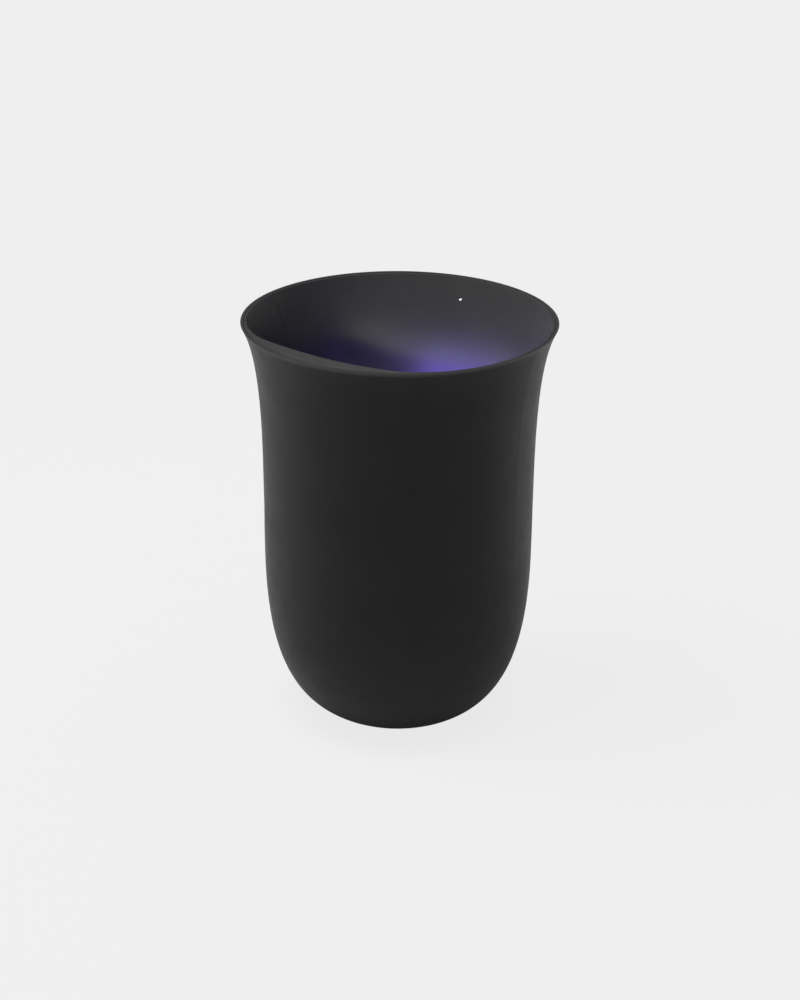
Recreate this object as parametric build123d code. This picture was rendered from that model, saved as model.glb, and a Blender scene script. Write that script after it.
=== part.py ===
from build123d import *
from math import atan, cos, degrees, radians, sin, tan
import os

# Phone sanitizing and charging cup.
#
# A round cup with a flared rim holds one phone. The phone stands on a sprung rest at the bottom of
# a pocket and leans back on the rear wall, where the charging coil is. Ultraviolet emitters behind
# a window in the front wall light its screen. The cup is an outer shell, a liner in two halves that
# makes the funnel and the pocket, and a chassis under the pocket with the board and the ballast.
#
# Frame: millimetres, +Z up, origin at the centre of the foot on the table. The phone's screen and
# the emitters are towards -Y, the charging side and the power socket are towards +Y.

# --- Outline of the cup, from the foot to the rim -----------------------------------------------
CUP_HEIGHT = 180.0
RIM_RADIUS = 65.0
RIM_FLARE = 27.9  # degrees from upright, at the rim
RIM_HANDLE = 20.9  # how far the flare keeps its direction
BELLY_RADIUS = 58.0
BELLY_HEIGHT = 74.0
BELLY_HANDLE_UP = 39.0
BELLY_HANDLE_DOWN = 45.5
FOOT_HEIGHT = 1.6
BASE_RADIUS = 28.6
BASE_RISE = 13.8  # degrees above level, where the bowl leaves the base
BASE_HANDLE = 20.5

# --- Walls and clearances -----------------------------------------------------------------------
SHELL_WALL = 2.0
SHELL_FLOOR = 3.2
LIP_WIDTH = 1.2
LIP_ROUND = 0.45
LINER_GAP = 0.4  # between shell and liner
LIP_GAP = 0.15  # the same at the rim
LINER_WALL = 1.6
LINER_EDGE = 0.65  # width of the liner's top edge
LINER_DROP = 0.15  # the liner's top edge lies this much below the lip
PARTING_GAP = 0.1  # hairline between the two liner halves
SEAT_GAP = 0.1  # between parts that are fastened together
FIT_GAP = 0.25  # round an insert
SLIDE_GAP = 0.1  # round what slides
THREAD_GAP = 0.03  # round a screw in its boss
HOLE_GAP = 0.3  # round a screw that passes through
LEG_GAP = 0.4  # round the chassis legs in the ballast and the board

# --- Funnel and pocket inside the liner ---------------------------------------------------------
POCKET_FLOOR = 34.0
REAR_FOOT = -14.0  # rear wall at the pocket floor
PHONE_LEAN = 15.0  # degrees
REAR_FLARE_FROM = CUP_HEIGHT - 29.0
REAR_FLARE_POWER = 2.4
SIDE_FOOT = 40.5  # half width at the pocket floor
SIDE_DRAFT = 4.0  # degrees
SIDE_FLARE_FROM = CUP_HEIGHT - 45.0
SIDE_FLARE_POWER = 2.4
MIDDLE_MOVES_FROM = CUP_HEIGHT - 60.0  # the pocket's walls are straight below this
FUNNEL_STEPS = 12  # cross-sections of the funnel
POCKET_RUN_OUT = 4.0  # the pocket's cutter goes this far below its floor
RIM_RUN_OUT = 1.0  # and this far above the rim
REAR_FLAT = 28.0  # half width of the flat charging wall
REAR_BEND = 26.4  # degrees that it turns to each side where it meets the rim's circle
REAR_BEND_PULL = 0.703
CORNER_FULL = 0.75  # how full the pocket's corners are, low down
RIM_FULL_SIDE = 0.424  # the same where they meet the rim's circle
RIM_FULL_REAR = 0.683
FRONT_FULL = 0.6  # the front corners, low down
RIM_FULL_FRONT = 0.485
RIM_FULL_DOWN = 0.532
FRONT_FLAT = 26.0  # half width of the flat front wall
FRONT_FLAT_RIM = 30.0  # the same where it meets the shelf at the rim
FRONT_BOW = 1.1  # the shelf's edge bows outwards by this much in the middle
FRONT_FLARE = 4.7  # the front wall opens outwards by this much at the rim
FRONT_FLARE_POWER = 2.4
FRONT_FLARE_FROM = CUP_HEIGHT - 30.0
FRONT_FOOT = -31.5  # front wall at the pocket floor
FLARE_AT_LAMP = 0.8  # share of the rim's flare that the shell has at the top of the lamp
SHELF_WIDTH = 17.1  # from the shell at that level in to the shelf's inner edge
SHELF_EDGE = SHELF_WIDTH - BELLY_RADIUS - (RIM_RADIUS - BELLY_RADIUS) * FLARE_AT_LAMP
SHELF_EDGE_DROP = 3.0  # the front wall is straight up to this much below the rim
SHELF_SLOPE = 10.3  # degrees, from the rim down to the shelf's inner edge
LAND_SIZE = (50.0, 92.0)  # the true flat in the rear wall that the phone's back lies on
LAND_SINK = 0.05
LAND_CORNER = 8.0
FUNNEL_UNDERCUT = 1.2  # the liner's outside is this much lower, so its flare is as thick as its sides
SEAM_Y = -5.0  # parting plane of the liner halves at the seam height
SEAM_HEIGHT = CUP_HEIGHT - 10.0
SEAM_FOOT = -25.3  # the same at the pocket floor
COIL_HEIGHT = 98.0  # height of the charging coil's middle

# --- Chassis ------------------------------------------------------------------------------------
PLATE_THICK = 2.0
PLATE_RADIUS = 49.0
COLLAR_WALL = 1.6
COLLAR_HEIGHT = 6.0
LEG_RADIUS = 3.4
LEG_CIRCLE = 25.8
LEG_ANGLES = (90, 210, 330)
LEAD_SLOT = (14.0, 6.0)
REAR_SLOT_Y = 8.0
FRONT_SLOT_Y = FRONT_FOOT - 11.5

# --- Phone rest ---------------------------------------------------------------------------------
REST_Y = (REAR_FOOT + FRONT_FOOT) / 2
REST_LENGTH = 64.0
REST_WIDTH = 12.6
REST_THICK = 1.6
REST_PAD_THICK = 1.4
REST_PAD_INSET = 1.0
REST_PAD_ROUND = 0.4  # share of the pad's thickness
REST_TRAVEL = 1.5
REST_STOP = 0.3  # left under the rest when it is pressed down
PIN_RADIUS = 1.6
PIN_SPACING = 40.0
PIN_BELOW_CLIP = 0.8
CLIP_THICK = 0.6
CLIP_RADIUS = 3.0
CLIP_GROOVE = 0.35  # depth
CLIP_MOUTH = 0.8  # share of the groove's diameter
WELL_RADIUS = 3.3
WELL_WALL = 1.2
WELL_FLOOR = 1.5
WELL_DEPTH = 8.5
SPRING_WIRE = 0.5
SPRING_RADIUS = 2.5
SPRING_TURNS = 5.5
STEM_RADIUS = 2.2

# --- Main board and what stands on it -----------------------------------------------------------
BOARD_RADIUS = 38.0
BOARD_THICK = 1.6
BOARD_TOP = 18.6
BOARD_TONGUE = (17.0, 44.0)  # width, reach to the rear
BOARD_SCREW_X = 30.0
BOARD_SCREW_Y = 14.0
BOSS_RADIUS = 2.6
CHIP_SIZE = (7.0, 7.0, 0.9)
CHIP_DOT = 0.06  # radius of the dot at pin 1, as a share of the chip's width
CHIP_DOT_AT = 0.36  # its place from the middle, the same way
CHIP_DOT_DEPTH = 0.1
CHARGER_CHIP_AT = (8.0, 14.0)
CONTROL_CHIP_AT = (-10.0, 5.0)
INDUCTOR_SIZE = 7.0
INDUCTOR_HEIGHT = 4.0
INDUCTOR_CORNER = 0.2  # share of its width
INDUCTOR_BEVEL = 0.1  # share of its height
INDUCTOR_PLACES = ((-8.0, 30.0), (8.0, 30.0))
CAPACITOR_RADIUS = 3.15
CAPACITOR_HEIGHT = 5.8
CAPACITOR_FOOT = 0.8  # thickness of its plastic base
CAPACITOR_BASE = 2.1  # width of the base, as a share of the can's radius
CAPACITOR_ROUND = 0.12  # share of the can's radius
CAPACITOR_PLACES = ((-24.0, 4.0), (-31.0, 2.0), (24.0, 4.0), (31.0, 2.0))
SWITCH_SIZE = (8.0, 6.0, 5.6)
SWITCH_BEVEL = 0.08  # share of its height
PLUNGER_RADIUS = 1.3
PLUNGER_ROUND = 0.3  # share of its radius
PLUNGER_REST = 0.1  # left of the plunger above the switch when it is pressed
PLUNGER_SINK = 1.4  # length of the plunger inside the switch at rest
CONNECTOR_SIZE = (6.5, 4.5, 4.2)
CONNECTOR_MOUTH = (0.7, 0.6)  # shares of its depth and height
CONNECTOR_PLUG = 5.3
COIL_SOCKET_AT = (-5.0, -2.0)
STATUS_SOCKET_AT = (5.0, -2.0)
LAMP_SOCKET_AT = (11.0, -32.5)

# --- Power socket, a standard 24-pin one --------------------------------------------------------
USB_WIDTH = 8.94
USB_HEIGHT = 3.26
USB_WALL = 0.3
USB_DEPTH = 7.35
USB_MOUTH_Y = 47.4
USB_TONGUE = (6.69, 5.0, 0.7)
USB_BACK = 1.4  # thickness of the moulded block behind the tongue
USB_CONTACT = (0.25, 3.6, 0.06)
USB_CONTACTS = 12
USB_PITCH = 0.5
BEZEL_WIDTH = 17.0
BEZEL_HEIGHT = 10.6
BEZEL_MOUTH = (13.0, 7.2)
BEZEL_BACK = 1.5

# --- Charging coil ------------------------------------------------------------------------------
COIL_RADIUS = 22.0
COIL_HOLE = 10.0
COIL_TURNS = 5
COIL_WIRE = 1.1
COIL_WEB = 0.3  # of the resin between the turns, as a share of the wire's thickness
COIL_GROOVE = 0.5  # between the turns
FERRITE_RADIUS = 24.0
FERRITE_THICK = 1.5
CARRIER_SIZE = 58.0
CARRIER_THICK = 1.6
CARRIER_CORNER = 6.0
CARRIER_SCREW = 25.5  # from the middle, both ways
SENSOR_RADIUS = 1.5
SENSOR_ROUND = 0.4  # share of the wire's thickness

# --- Ultraviolet lamp ---------------------------------------------------------------------------
LAMP_HEIGHT = FRONT_FLARE_FROM - 48.0  # height of its middle, below the flare
WINDOW = (26.0, 80.0)
WINDOW_CORNER = 4.0
PANE_MARGIN = 2.2
PANE_THICK = 1.2
GASKET_THICK = 0.6
GASKET_WIDTH = 1.6
REFLECTOR_THICK = 3.0
REFLECTOR_TAPER = 3.0
LAMP_BOARD = (39.0, 96.0, 1.0)
LAMP_SCREW = (16.6, 44.0)
LAMP_BOSS = 2.4
EMITTER_SIZE = 3.5
EMITTER_THICK = 1.2
EMITTER_BASE = 0.6  # share of the thickness below the dome
EMITTER_DOME = 0.4  # the dome's radius and height, as shares of the emitter's width and thickness
EMITTER_COUNT = 4
EMITTER_PITCH = 19.0
SINK_SIZE = (26.0, 76.0)
SINK_BASE = 1.2
SINK_FIN = 1.0
SINK_FIN_HEIGHT = 1.7
SINK_FINS = 6

# --- Status light -------------------------------------------------------------------------------
STATUS_Y = RIM_RADIUS - 17.0
STATUS_TIP = 0.75
STATUS_STEM = 1.6
STATUS_STEM_TOP = CUP_HEIGHT - 10.0
STATUS_BOARD = (15.0, 9.0, 1.0)
STATUS_BOARD_TOP = CUP_HEIGHT - 19.0
STATUS_LED = (2.0, 1.25, 0.8)
STATUS_PEG = 1.8
STATUS_PEG_X = 5.2
STATUS_COLLAR_FOOT = CUP_HEIGHT - 13.0

# --- Screws, as (shaft radius, length, head radius, head height) --------------------------------
SMALL_SCREW = (1.0, 6.0, 1.8, 1.2)
LINER_SCREW = (1.0, 8.0, 1.8, 1.2)
FINE_SCREW = (0.7, 4.0, 1.25, 0.8)
LONG_SCREW = (1.3, 9.0, 2.1, 1.5)
HEAD_ROUND = 0.45  # share of the head's height
CROSS_REACH = 1.1  # of the recess, as a share of the head's radius
CROSS_WIDTH = 0.3
PILOT_SPARE = 0.5  # depth of a pilot hole past its screw

# --- Foot, cover and ballast --------------------------------------------------------------------
FOOT_INNER = 22.3
FOOT_ROUND = 0.5
COVER_RADIUS = 21.5
COVER_THICK = 1.4
COVER_LEDGE = 17.6
COVER_SPIGOT = 1.6
COVER_SCREW_CIRCLE = 19.6
COVER_SCREW_ANGLES = (30, 150, 270)
BALLAST_RADIUS = 31.0
BALLAST_HOLE = 6.0
BALLAST_THICK = 5.0
BALLAST_BEVEL = 0.1  # share of its thickness

# --- Liner fastenings ---------------------------------------------------------------------------
LINER_BOSS = 2.8
LINER_BOSS_HEIGHT = 9.0
LINER_SCREW_REAR = (12.0, REAR_FOOT + 4.7)
LINER_SCREW_FRONT = (22.0, FRONT_FOOT - 3.5)
SEAM_LUG = (6.0, 7.0, 8.0)
SEAM_LUG_SINK = 1.0  # into the liner's wall
SEAM_SCREW_OUT = 0.58  # share of the lug's width
SEAM_LUG_HEIGHTS = (60.0, 95.0)

# --- Leads inside the cup -----------------------------------------------------------------------
LEAD_RADIUS = 0.9
LEAD_PLUG_DEPTH = 2.4  # how far a lead reaches into its socket
COIL_LEAD_X = -5.0
LAMP_LEAD_X = 4.5
STATUS_LEAD_X = 5.0
STATUS_LEAD_HIGH = (0.75, 0.69)  # shares of the way out to the status board, and up to it
STATUS_LEAD_LOW = (0.45, 0.34)


def tan_deg(angle):
    return tan(radians(angle))


def turned(length, angle):
    """A vector of that length, that many degrees above level, in the XZ plane."""
    return Vector(length * cos(radians(angle)), 0, length * sin(radians(angle)))


BOTH = (-1, 1)
UP = (Align.CENTER, Align.CENTER, Align.MIN)
DOWN = (Align.CENTER, Align.CENTER, Align.MAX)


def post(x, y, low, high, radius):
    return Pos(x, y, low) * Cylinder(radius, high - low, align=UP)


def around(radius, angles):
    """Places on a circle about the axis."""
    return [(radius * cos(radians(a)), radius * sin(radians(a))) for a in angles]


def tile(width, length, thick, corner=0.0):
    """A plate standing on the plane, with round corners."""
    outline = RectangleRounded(width, length, corner) if corner else Rectangle(width, length)
    return extrude(outline, thick)


# --- The cup's outline, moved inwards -----------------------------------------------------------
HANDLE_SHRINK = 0.55  # a Bezier handle shortens by this share of an inward move
FLOOR_TOP = FOOT_HEIGHT + SHELL_FLOOR


def cup_solid(inset, rim_inset):
    """The solid inside the cup's outline, moved inwards by inset, and by rim_inset at the rim."""
    base = Vector(BASE_RADIUS - inset * sin(radians(BASE_RISE)), 0, FOOT_HEIGHT + inset)
    belly = Vector(BELLY_RADIUS - inset, 0, BELLY_HEIGHT)
    rim = Vector(RIM_RADIUS - rim_inset, 0, CUP_HEIGHT)
    shorter = HANDLE_SHRINK * inset
    bowl = Bezier(
        base,
        base + turned(BASE_HANDLE - shorter, BASE_RISE),
        belly - Vector(0, 0, BELLY_HANDLE_DOWN - shorter),
        belly,
    )
    flare_start = Vector(RIM_RADIUS - inset, 0, CUP_HEIGHT) - turned(RIM_HANDLE, 90 - RIM_FLARE)
    flare = Bezier(belly, belly + Vector(0, 0, BELLY_HANDLE_UP), flare_start, rim)
    axis_low, axis_high = Vector(0, 0, base.Z), Vector(0, 0, CUP_HEIGHT)
    edges = [Line(axis_low, base), bowl, flare, Line(rim, axis_high), Line(axis_high, axis_low)]
    return revolve(Face(Wire(edges)), Axis.Z, 360)


def slab(low, high):
    """A wide disc between two heights."""
    return post(0, 0, low, high, 2 * RIM_RADIUS)


# --- The pocket's cross-sections ----------------------------------------------------------------
FUNNEL_RADIUS = RIM_RADIUS - LIP_WIDTH - LIP_GAP - LINER_EDGE
SHELF_EDGE_Z = CUP_HEIGHT - SHELF_EDGE_DROP
POCKET_DEPTH = CUP_HEIGHT - POCKET_FLOOR


def flare_share(z, start):
    """0 up to the height where a flare starts, 1 at the rim."""
    return max(0.0, (z - start) / (CUP_HEIGHT - start))


def rear_plane(z):
    """The plane that the phone leans on."""
    return REAR_FOOT + (z - POCKET_FLOOR) * tan_deg(PHONE_LEAN)


def rear_wall(z):
    reach = FUNNEL_RADIUS - rear_plane(CUP_HEIGHT)
    return rear_plane(z) + reach * flare_share(z, REAR_FLARE_FROM) ** REAR_FLARE_POWER


def front_wall(z):
    straight = FRONT_FOOT + (SHELF_EDGE - FRONT_FOOT) * (z - POCKET_FLOOR) / (SHELF_EDGE_Z - POCKET_FLOOR)
    return straight - FRONT_FLARE * flare_share(z, FRONT_FLARE_FROM) ** FRONT_FLARE_POWER


def side_wall(z):
    straight_top = SIDE_FOOT + POCKET_DEPTH * tan_deg(SIDE_DRAFT)
    reach = FUNNEL_RADIUS - straight_top
    flare = reach * flare_share(z, SIDE_FLARE_FROM) ** SIDE_FLARE_POWER
    return SIDE_FOOT + (z - POCKET_FLOOR) * tan_deg(SIDE_DRAFT) + flare


def widest_line(z):
    """Where the pocket is widest: between its walls low down, on the cup's axis at the rim."""
    middle = (rear_wall(z) + front_wall(z)) / 2
    return middle * (1 - min(1.0, flare_share(z, MIDDLE_MOVES_FROM)))


def between(low, high, share):
    return low + (high - low) * share


def cubic(start, start_pull, end_pull, end):
    """A cubic curve between two points, each with the vector that pulls the curve away from it."""
    return Bezier(start, start + start_pull, end + end_pull, end)


def pocket_outline(z, grow=0.0):
    """The pocket's outline at height z, grown outwards, as a face in the plane at height 0.

    The rear wall is flat over the charging area and bends into the rim's circle as the funnel
    opens. The front wall stays flat up to the shelf.
    """
    fade = min(1.0, flare_share(z, REAR_FLARE_FROM))
    middle = widest_line(z)
    side = side_wall(z) + grow
    bend = radians(REAR_BEND) * fade
    rear = rear_wall(z) + grow - REAR_FLAT * tan(bend / 2)
    rear_pull = REAR_FLAT * between(2 / 3, REAR_BEND_PULL, fade)
    front_middle = front_wall(z) - grow
    opened = flare_share(z, FRONT_FLARE_FROM) ** 2
    front_flat = between(FRONT_FLAT, FRONT_FLAT_RIM, opened)
    front = front_middle + FRONT_BOW * opened
    front_pull = Vector(2 / 3 * front_flat, (front_middle - front) * 4 / 3)
    up_pull = Vector(0, (rear - middle) * between(CORNER_FULL, RIM_FULL_SIDE, fade))
    rear_reach = (side - REAR_FLAT) * between(CORNER_FULL, RIM_FULL_REAR, fade)
    rear_along = Vector(cos(bend), sin(bend))
    down_pull = Vector(0, (front - middle) * between(FRONT_FULL, RIM_FULL_DOWN, fade))
    front_reach = (side - front_flat) * between(FRONT_FULL, RIM_FULL_FRONT, fade)
    right_along = Vector(front_pull.X, -front_pull.Y).normalized()
    left_along = Vector(-right_along.X, right_along.Y)
    right, left = Vector(side, middle), Vector(-side, middle)
    rear_right, rear_left = Vector(REAR_FLAT, rear), Vector(-REAR_FLAT, rear)
    front_left, front_right = Vector(-front_flat, front), Vector(front_flat, front)
    mirrored = Vector(-rear_along.X, rear_along.Y)
    edges = [
        cubic(right, up_pull, mirrored * -rear_reach, rear_right),
        cubic(rear_right, mirrored * rear_pull, rear_along * rear_pull, rear_left),
        cubic(rear_left, rear_along * -rear_reach, up_pull, left),
        cubic(left, down_pull, left_along * front_reach, front_left),
        cubic(front_left, front_pull, Vector(-front_pull.X, front_pull.Y), front_right),
        cubic(front_right, right_along * front_reach, down_pull, right),
    ]
    return Face(Wire(edges))


def section(z, grow, lower):
    return Pos(0, 0, z - lower) * pocket_outline(z, grow)


def pocket_trunk(grow=0.0, lower=0.0):
    """The pocket's straight lower part."""
    low = POCKET_FLOOR - POCKET_RUN_OUT
    return loft([section(low, grow, lower), section(MIDDLE_MOVES_FROM, grow, lower)], ruled=True)


def pocket_solid(grow=0.0, lower=0.0):
    """The pocket and its funnel, up to just above the rim."""
    top = CUP_HEIGHT + RIM_RUN_OUT
    heights = [between(MIDDLE_MOVES_FROM, top, step / FUNNEL_STEPS) for step in range(FUNNEL_STEPS + 1)]
    return pocket_trunk(grow, lower) + loft([section(z, grow, lower) for z in heights])


# --- Planes that parts are set on: z points away from the pocket, y points up the wall ----------
FRONT_DRAFT = degrees(atan((FRONT_FOOT - SHELF_EDGE) / (SHELF_EDGE_Z - POCKET_FLOOR)))
REAR_NORMAL = Vector(0, cos(radians(PHONE_LEAN)), -sin(radians(PHONE_LEAN)))
FRONT_NORMAL = Vector(0, -cos(radians(FRONT_DRAFT)), -sin(radians(FRONT_DRAFT)))
REAR_LAND = Plane((0, rear_plane(COIL_HEIGHT), COIL_HEIGHT), x_dir=(-1, 0, 0), z_dir=REAR_NORMAL)
LAMP_PLANE = Plane((0, front_wall(LAMP_HEIGHT), LAMP_HEIGHT), x_dir=(1, 0, 0), z_dir=FRONT_NORMAL)
SEAM_LEAN = atan((SEAM_Y - SEAM_FOOT) / (SEAM_HEIGHT - POCKET_FLOOR))
SEAM_PLANE = Plane((0, SEAM_Y, SEAM_HEIGHT), x_dir=(1, 0, 0), z_dir=(0, cos(SEAM_LEAN), -sin(SEAM_LEAN)))


def on(plane, shape, x=0.0, y=0.0, z=0.0):
    return plane * Pos(x, y, z) * shape


# --- Screws -------------------------------------------------------------------------------------
def screw(kind):
    """A pan-head screw, its shaft along +Z and its head below the origin."""
    shaft, length, head, head_height = kind
    body = Cylinder(shaft, length, align=UP) + Cylinder(head, head_height, align=DOWN)
    rim = body.edges().filter_by(GeomType.CIRCLE).sort_by(Axis.Z)[0]
    body = fillet(rim, head_height * HEAD_ROUND)
    reach, width = head * CROSS_REACH, head * CROSS_WIDTH
    cross = Box(reach, width, head_height) + Box(width, reach, head_height)
    return body - Pos(0, 0, -head_height) * cross


def pilot(kind):
    """The hole that a screw's shaft sits in."""
    return Cylinder(kind[0] + THREAD_GAP, kind[1] + PILOT_SPARE, align=UP)


# --- Shell, foot, cover, ballast ----------------------------------------------------------------
LEG_PLACES = around(LEG_CIRCLE, LEG_ANGLES)
COVER_SCREW_PLACES = around(COVER_SCREW_CIRCLE, COVER_SCREW_ANGLES)
SCREW_SINK = LONG_SCREW[3] + SEAT_GAP  # depth of the counterbores under the shell
COVER_RECESS = COVER_THICK + SEAT_GAP
USB_AXIS_Z = BOARD_TOP + USB_HEIGHT / 2
PLATE_TOP = POCKET_FLOOR - PLATE_THICK
PLATE_LOW = PLATE_TOP - PLATE_THICK
WELL_LOW = POCKET_FLOOR - WELL_DEPTH - WELL_FLOOR
BOARD_LOW = BOARD_TOP - BOARD_THICK
SWITCH_TOP = BOARD_TOP + SWITCH_SIZE[2]


def shell_inside(gap=0.0, rim_gap=0.0):
    return cup_solid(SHELL_WALL + gap, LIP_WIDTH + rim_gap)


def port_block(width, height, low_y, high_y):
    """A horizontal block with full-round ends, on the axis of the power socket."""
    outline = Pos(0, USB_AXIS_Z) * SlotOverall(width, height)
    return extrude(Plane.XZ * outline, -(high_y - low_y)).moved(Location((0, low_y, 0)))


def outer_shell():
    hollow = shell_inside() & slab(FLOOR_TOP, CUP_HEIGHT + 1)
    shell = cup_solid(0, 0) - hollow
    lip = shell.edges().filter_by(GeomType.CIRCLE).sort_by(Axis.Z)[-1]
    shell = fillet(lip, LIP_ROUND)
    shell -= post(0, 0, FOOT_HEIGHT, FOOT_HEIGHT + COVER_RECESS, COVER_RADIUS + FIT_GAP)
    shell -= post(0, 0, FOOT_HEIGHT, FLOOR_TOP, COVER_LEDGE)
    for x, y in LEG_PLACES:
        shell -= post(x, y, FOOT_HEIGHT, FOOT_HEIGHT + SCREW_SINK, LONG_SCREW[2] + HOLE_GAP)
        shell -= post(x, y, FOOT_HEIGHT, FLOOR_TOP, LONG_SCREW[0] + HOLE_GAP)
    for x, y in COVER_SCREW_PLACES:
        shell -= post(x, y, FOOT_HEIGHT, FLOOR_TOP, FINE_SCREW[0] + THREAD_GAP)
    hole = port_block(BEZEL_WIDTH + 2 * FIT_GAP, BEZEL_HEIGHT + 2 * FIT_GAP, 0, RIM_RADIUS)
    return shell - hole


def foot_ring():
    ring = post(0, 0, 0, FOOT_HEIGHT, BASE_RADIUS - SEAT_GAP) - post(0, 0, 0, FOOT_HEIGHT, FOOT_INNER)
    edges = ring.edges().filter_by(GeomType.CIRCLE).group_by(Axis.Z)[0]
    return fillet(edges, FOOT_ROUND)


def base_cover():
    low = FOOT_HEIGHT
    cover = post(0, 0, low, low + COVER_THICK, COVER_RADIUS)
    spigot = COVER_LEDGE - FIT_GAP
    top = FLOOR_TOP - SEAT_GAP
    cover += post(0, 0, low, top, spigot) - post(0, 0, low, top, spigot - COVER_SPIGOT)
    for x, y in COVER_SCREW_PLACES:
        cover -= post(x, y, low, low + COVER_THICK, FINE_SCREW[0] + HOLE_GAP)
        cover -= post(x, y, low, low + FINE_SCREW[3], FINE_SCREW[2] + HOLE_GAP)
    return cover


def cover_screws():
    z = FOOT_HEIGHT + FINE_SCREW[3]
    kind = (FINE_SCREW[0], FLOOR_TOP - z - SEAT_GAP, FINE_SCREW[2], FINE_SCREW[3])
    return [Pos(x, y, z) * screw(kind) for x, y in COVER_SCREW_PLACES]


def ballast():
    low = FLOOR_TOP + SEAT_GAP
    disc = post(0, 0, low, low + BALLAST_THICK, BALLAST_RADIUS)
    disc -= post(0, 0, low, low + BALLAST_THICK, BALLAST_HOLE)
    top = disc.edges().filter_by(GeomType.CIRCLE).group_by(Axis.Z)[-1]
    disc = chamfer(top, BALLAST_THICK * BALLAST_BEVEL)
    for x, y in LEG_PLACES:
        disc -= post(x, y, low, low + BALLAST_THICK, LEG_RADIUS + LEG_GAP)
    return disc


def chassis_screws():
    z = FOOT_HEIGHT + SCREW_SINK
    return [Pos(x, y, z) * screw(LONG_SCREW) for x, y in LEG_PLACES]


# --- Liner --------------------------------------------------------------------------------------
LINER_FOOT = POCKET_FLOOR - PLATE_THICK + SEAT_GAP
LINER_TOP = CUP_HEIGHT - LINER_DROP


def wall_thickness(lean):
    """Thickness of the liner's wall where it leans by that many degrees."""
    return (LINER_WALL + FUNNEL_UNDERCUT * tan_deg(lean)) * cos(radians(lean))


# Distances from the lamp plane, going away from the pocket, of what is stacked behind the window.
GASKET_Z = wall_thickness(FRONT_DRAFT) + SEAT_GAP
PANE_Z = GASKET_Z + GASKET_THICK + SEAT_GAP
REFLECTOR_Z = PANE_Z + PANE_THICK + SEAT_GAP
LAMP_BOARD_Z = REFLECTOR_Z + REFLECTOR_THICK + SEAT_GAP
SINK_Z = LAMP_BOARD_Z + LAMP_BOARD[2] + SEAT_GAP

# The same behind the charging wall.
COIL_Z = wall_thickness(PHONE_LEAN) + SEAT_GAP
FERRITE_Z = COIL_Z + COIL_WIRE + SEAT_GAP
CARRIER_Z = FERRITE_Z + FERRITE_THICK + SEAT_GAP

LAMP_SCREW_PLACES = [(x * LAMP_SCREW[0], y * LAMP_SCREW[1]) for x in BOTH for y in BOTH]
COIL_SCREW_PLACES = [(x * CARRIER_SCREW, y * CARRIER_SCREW) for x in BOTH for y in BOTH]
LINER_SCREW_PLACES = [(hand * x, y) for x, y in (LINER_SCREW_REAR, LINER_SCREW_FRONT) for hand in BOTH]
STATUS_SCREW_PLACES = [(x * STATUS_PEG_X, STATUS_Y) for x in BOTH]
STATUS_BOARD_LOW = STATUS_BOARD_TOP - STATUS_BOARD[2]


def shelf_ring(high, low):
    """The front half of a ring on the shelf's slope, between two levels above the shelf's top."""
    inner, outer = FUNNEL_RADIUS / 2, RIM_RADIUS + RIM_RUN_OUT
    inner_z = CUP_HEIGHT - (FUNNEL_RADIUS - inner) * tan_deg(SHELF_SLOPE)
    outer_z = CUP_HEIGHT + (outer - FUNNEL_RADIUS) * tan_deg(SHELF_SLOPE)
    section = [(inner, inner_z + low), (outer, outer_z + low)]
    section += [(outer, outer_z + high), (inner, inner_z + high)]
    outline = Face(Wire.make_polygon([Vector(r, 0, z) for r, z in section]))
    front = Pos(0, -RIM_RADIUS - RIM_RADIUS / 2, 0) * Box(4 * RIM_RADIUS, 2 * RIM_RADIUS, 4 * CUP_HEIGHT)
    return revolve(outline, Axis.Z, 360) & front


def charging_land():
    """The cutter of the flat in the charging wall."""
    return on(REAR_LAND, tile(*LAND_SIZE, 2 * LINER_WALL, LAND_CORNER), z=LAND_SINK - 2 * LINER_WALL)


def status_bore():
    stem_top = STATUS_STEM_TOP + SEAT_GAP
    bore = post(0, STATUS_Y, stem_top, CUP_HEIGHT, STATUS_TIP + THREAD_GAP)
    return bore + post(0, STATUS_Y, STATUS_BOARD_TOP, stem_top, STATUS_STEM + SLIDE_GAP)


def seam_at(z):
    return SEAM_Y + (z - SEAM_HEIGHT) * tan(SEAM_LEAN)


def seam_lugs():
    lugs = []
    for z in SEAM_LUG_HEIGHTS:
        x = side_wall(z) + LINER_WALL - SEAM_LUG_SINK + SEAM_LUG[0] / 2
        lugs += [Pos(hand * x, seam_at(z), z) * Box(*SEAM_LUG) for hand in BOTH]
    return lugs


def seam_screw_planes():
    planes = []
    for z in SEAM_LUG_HEIGHTS:
        x = side_wall(z) + LINER_WALL - SEAM_LUG_SINK + SEAM_LUG[0] * SEAM_SCREW_OUT
        y = seam_at(z) - SEAM_LUG[1] / 2
        planes += [Plane((hand * x, y, z), x_dir=(1, 0, 0), z_dir=(0, 1, 0)) for hand in BOTH]
    return planes


def wall_bosses(plane, places, top, radius):
    """Posts that stand on the outside of the liner's wall."""
    root = LINER_WALL / 2
    return [on(plane, Cylinder(radius, top - SEAT_GAP - root, align=UP), x, y, root) for x, y in places]


def wall_pilots(plane, places, level, kind):
    """Holes for screws that come from outside, whose heads rest at that level."""
    return [on(plane, Rot(180, 0, 0) * pilot(kind), x, y, level) for x, y in places]


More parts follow.
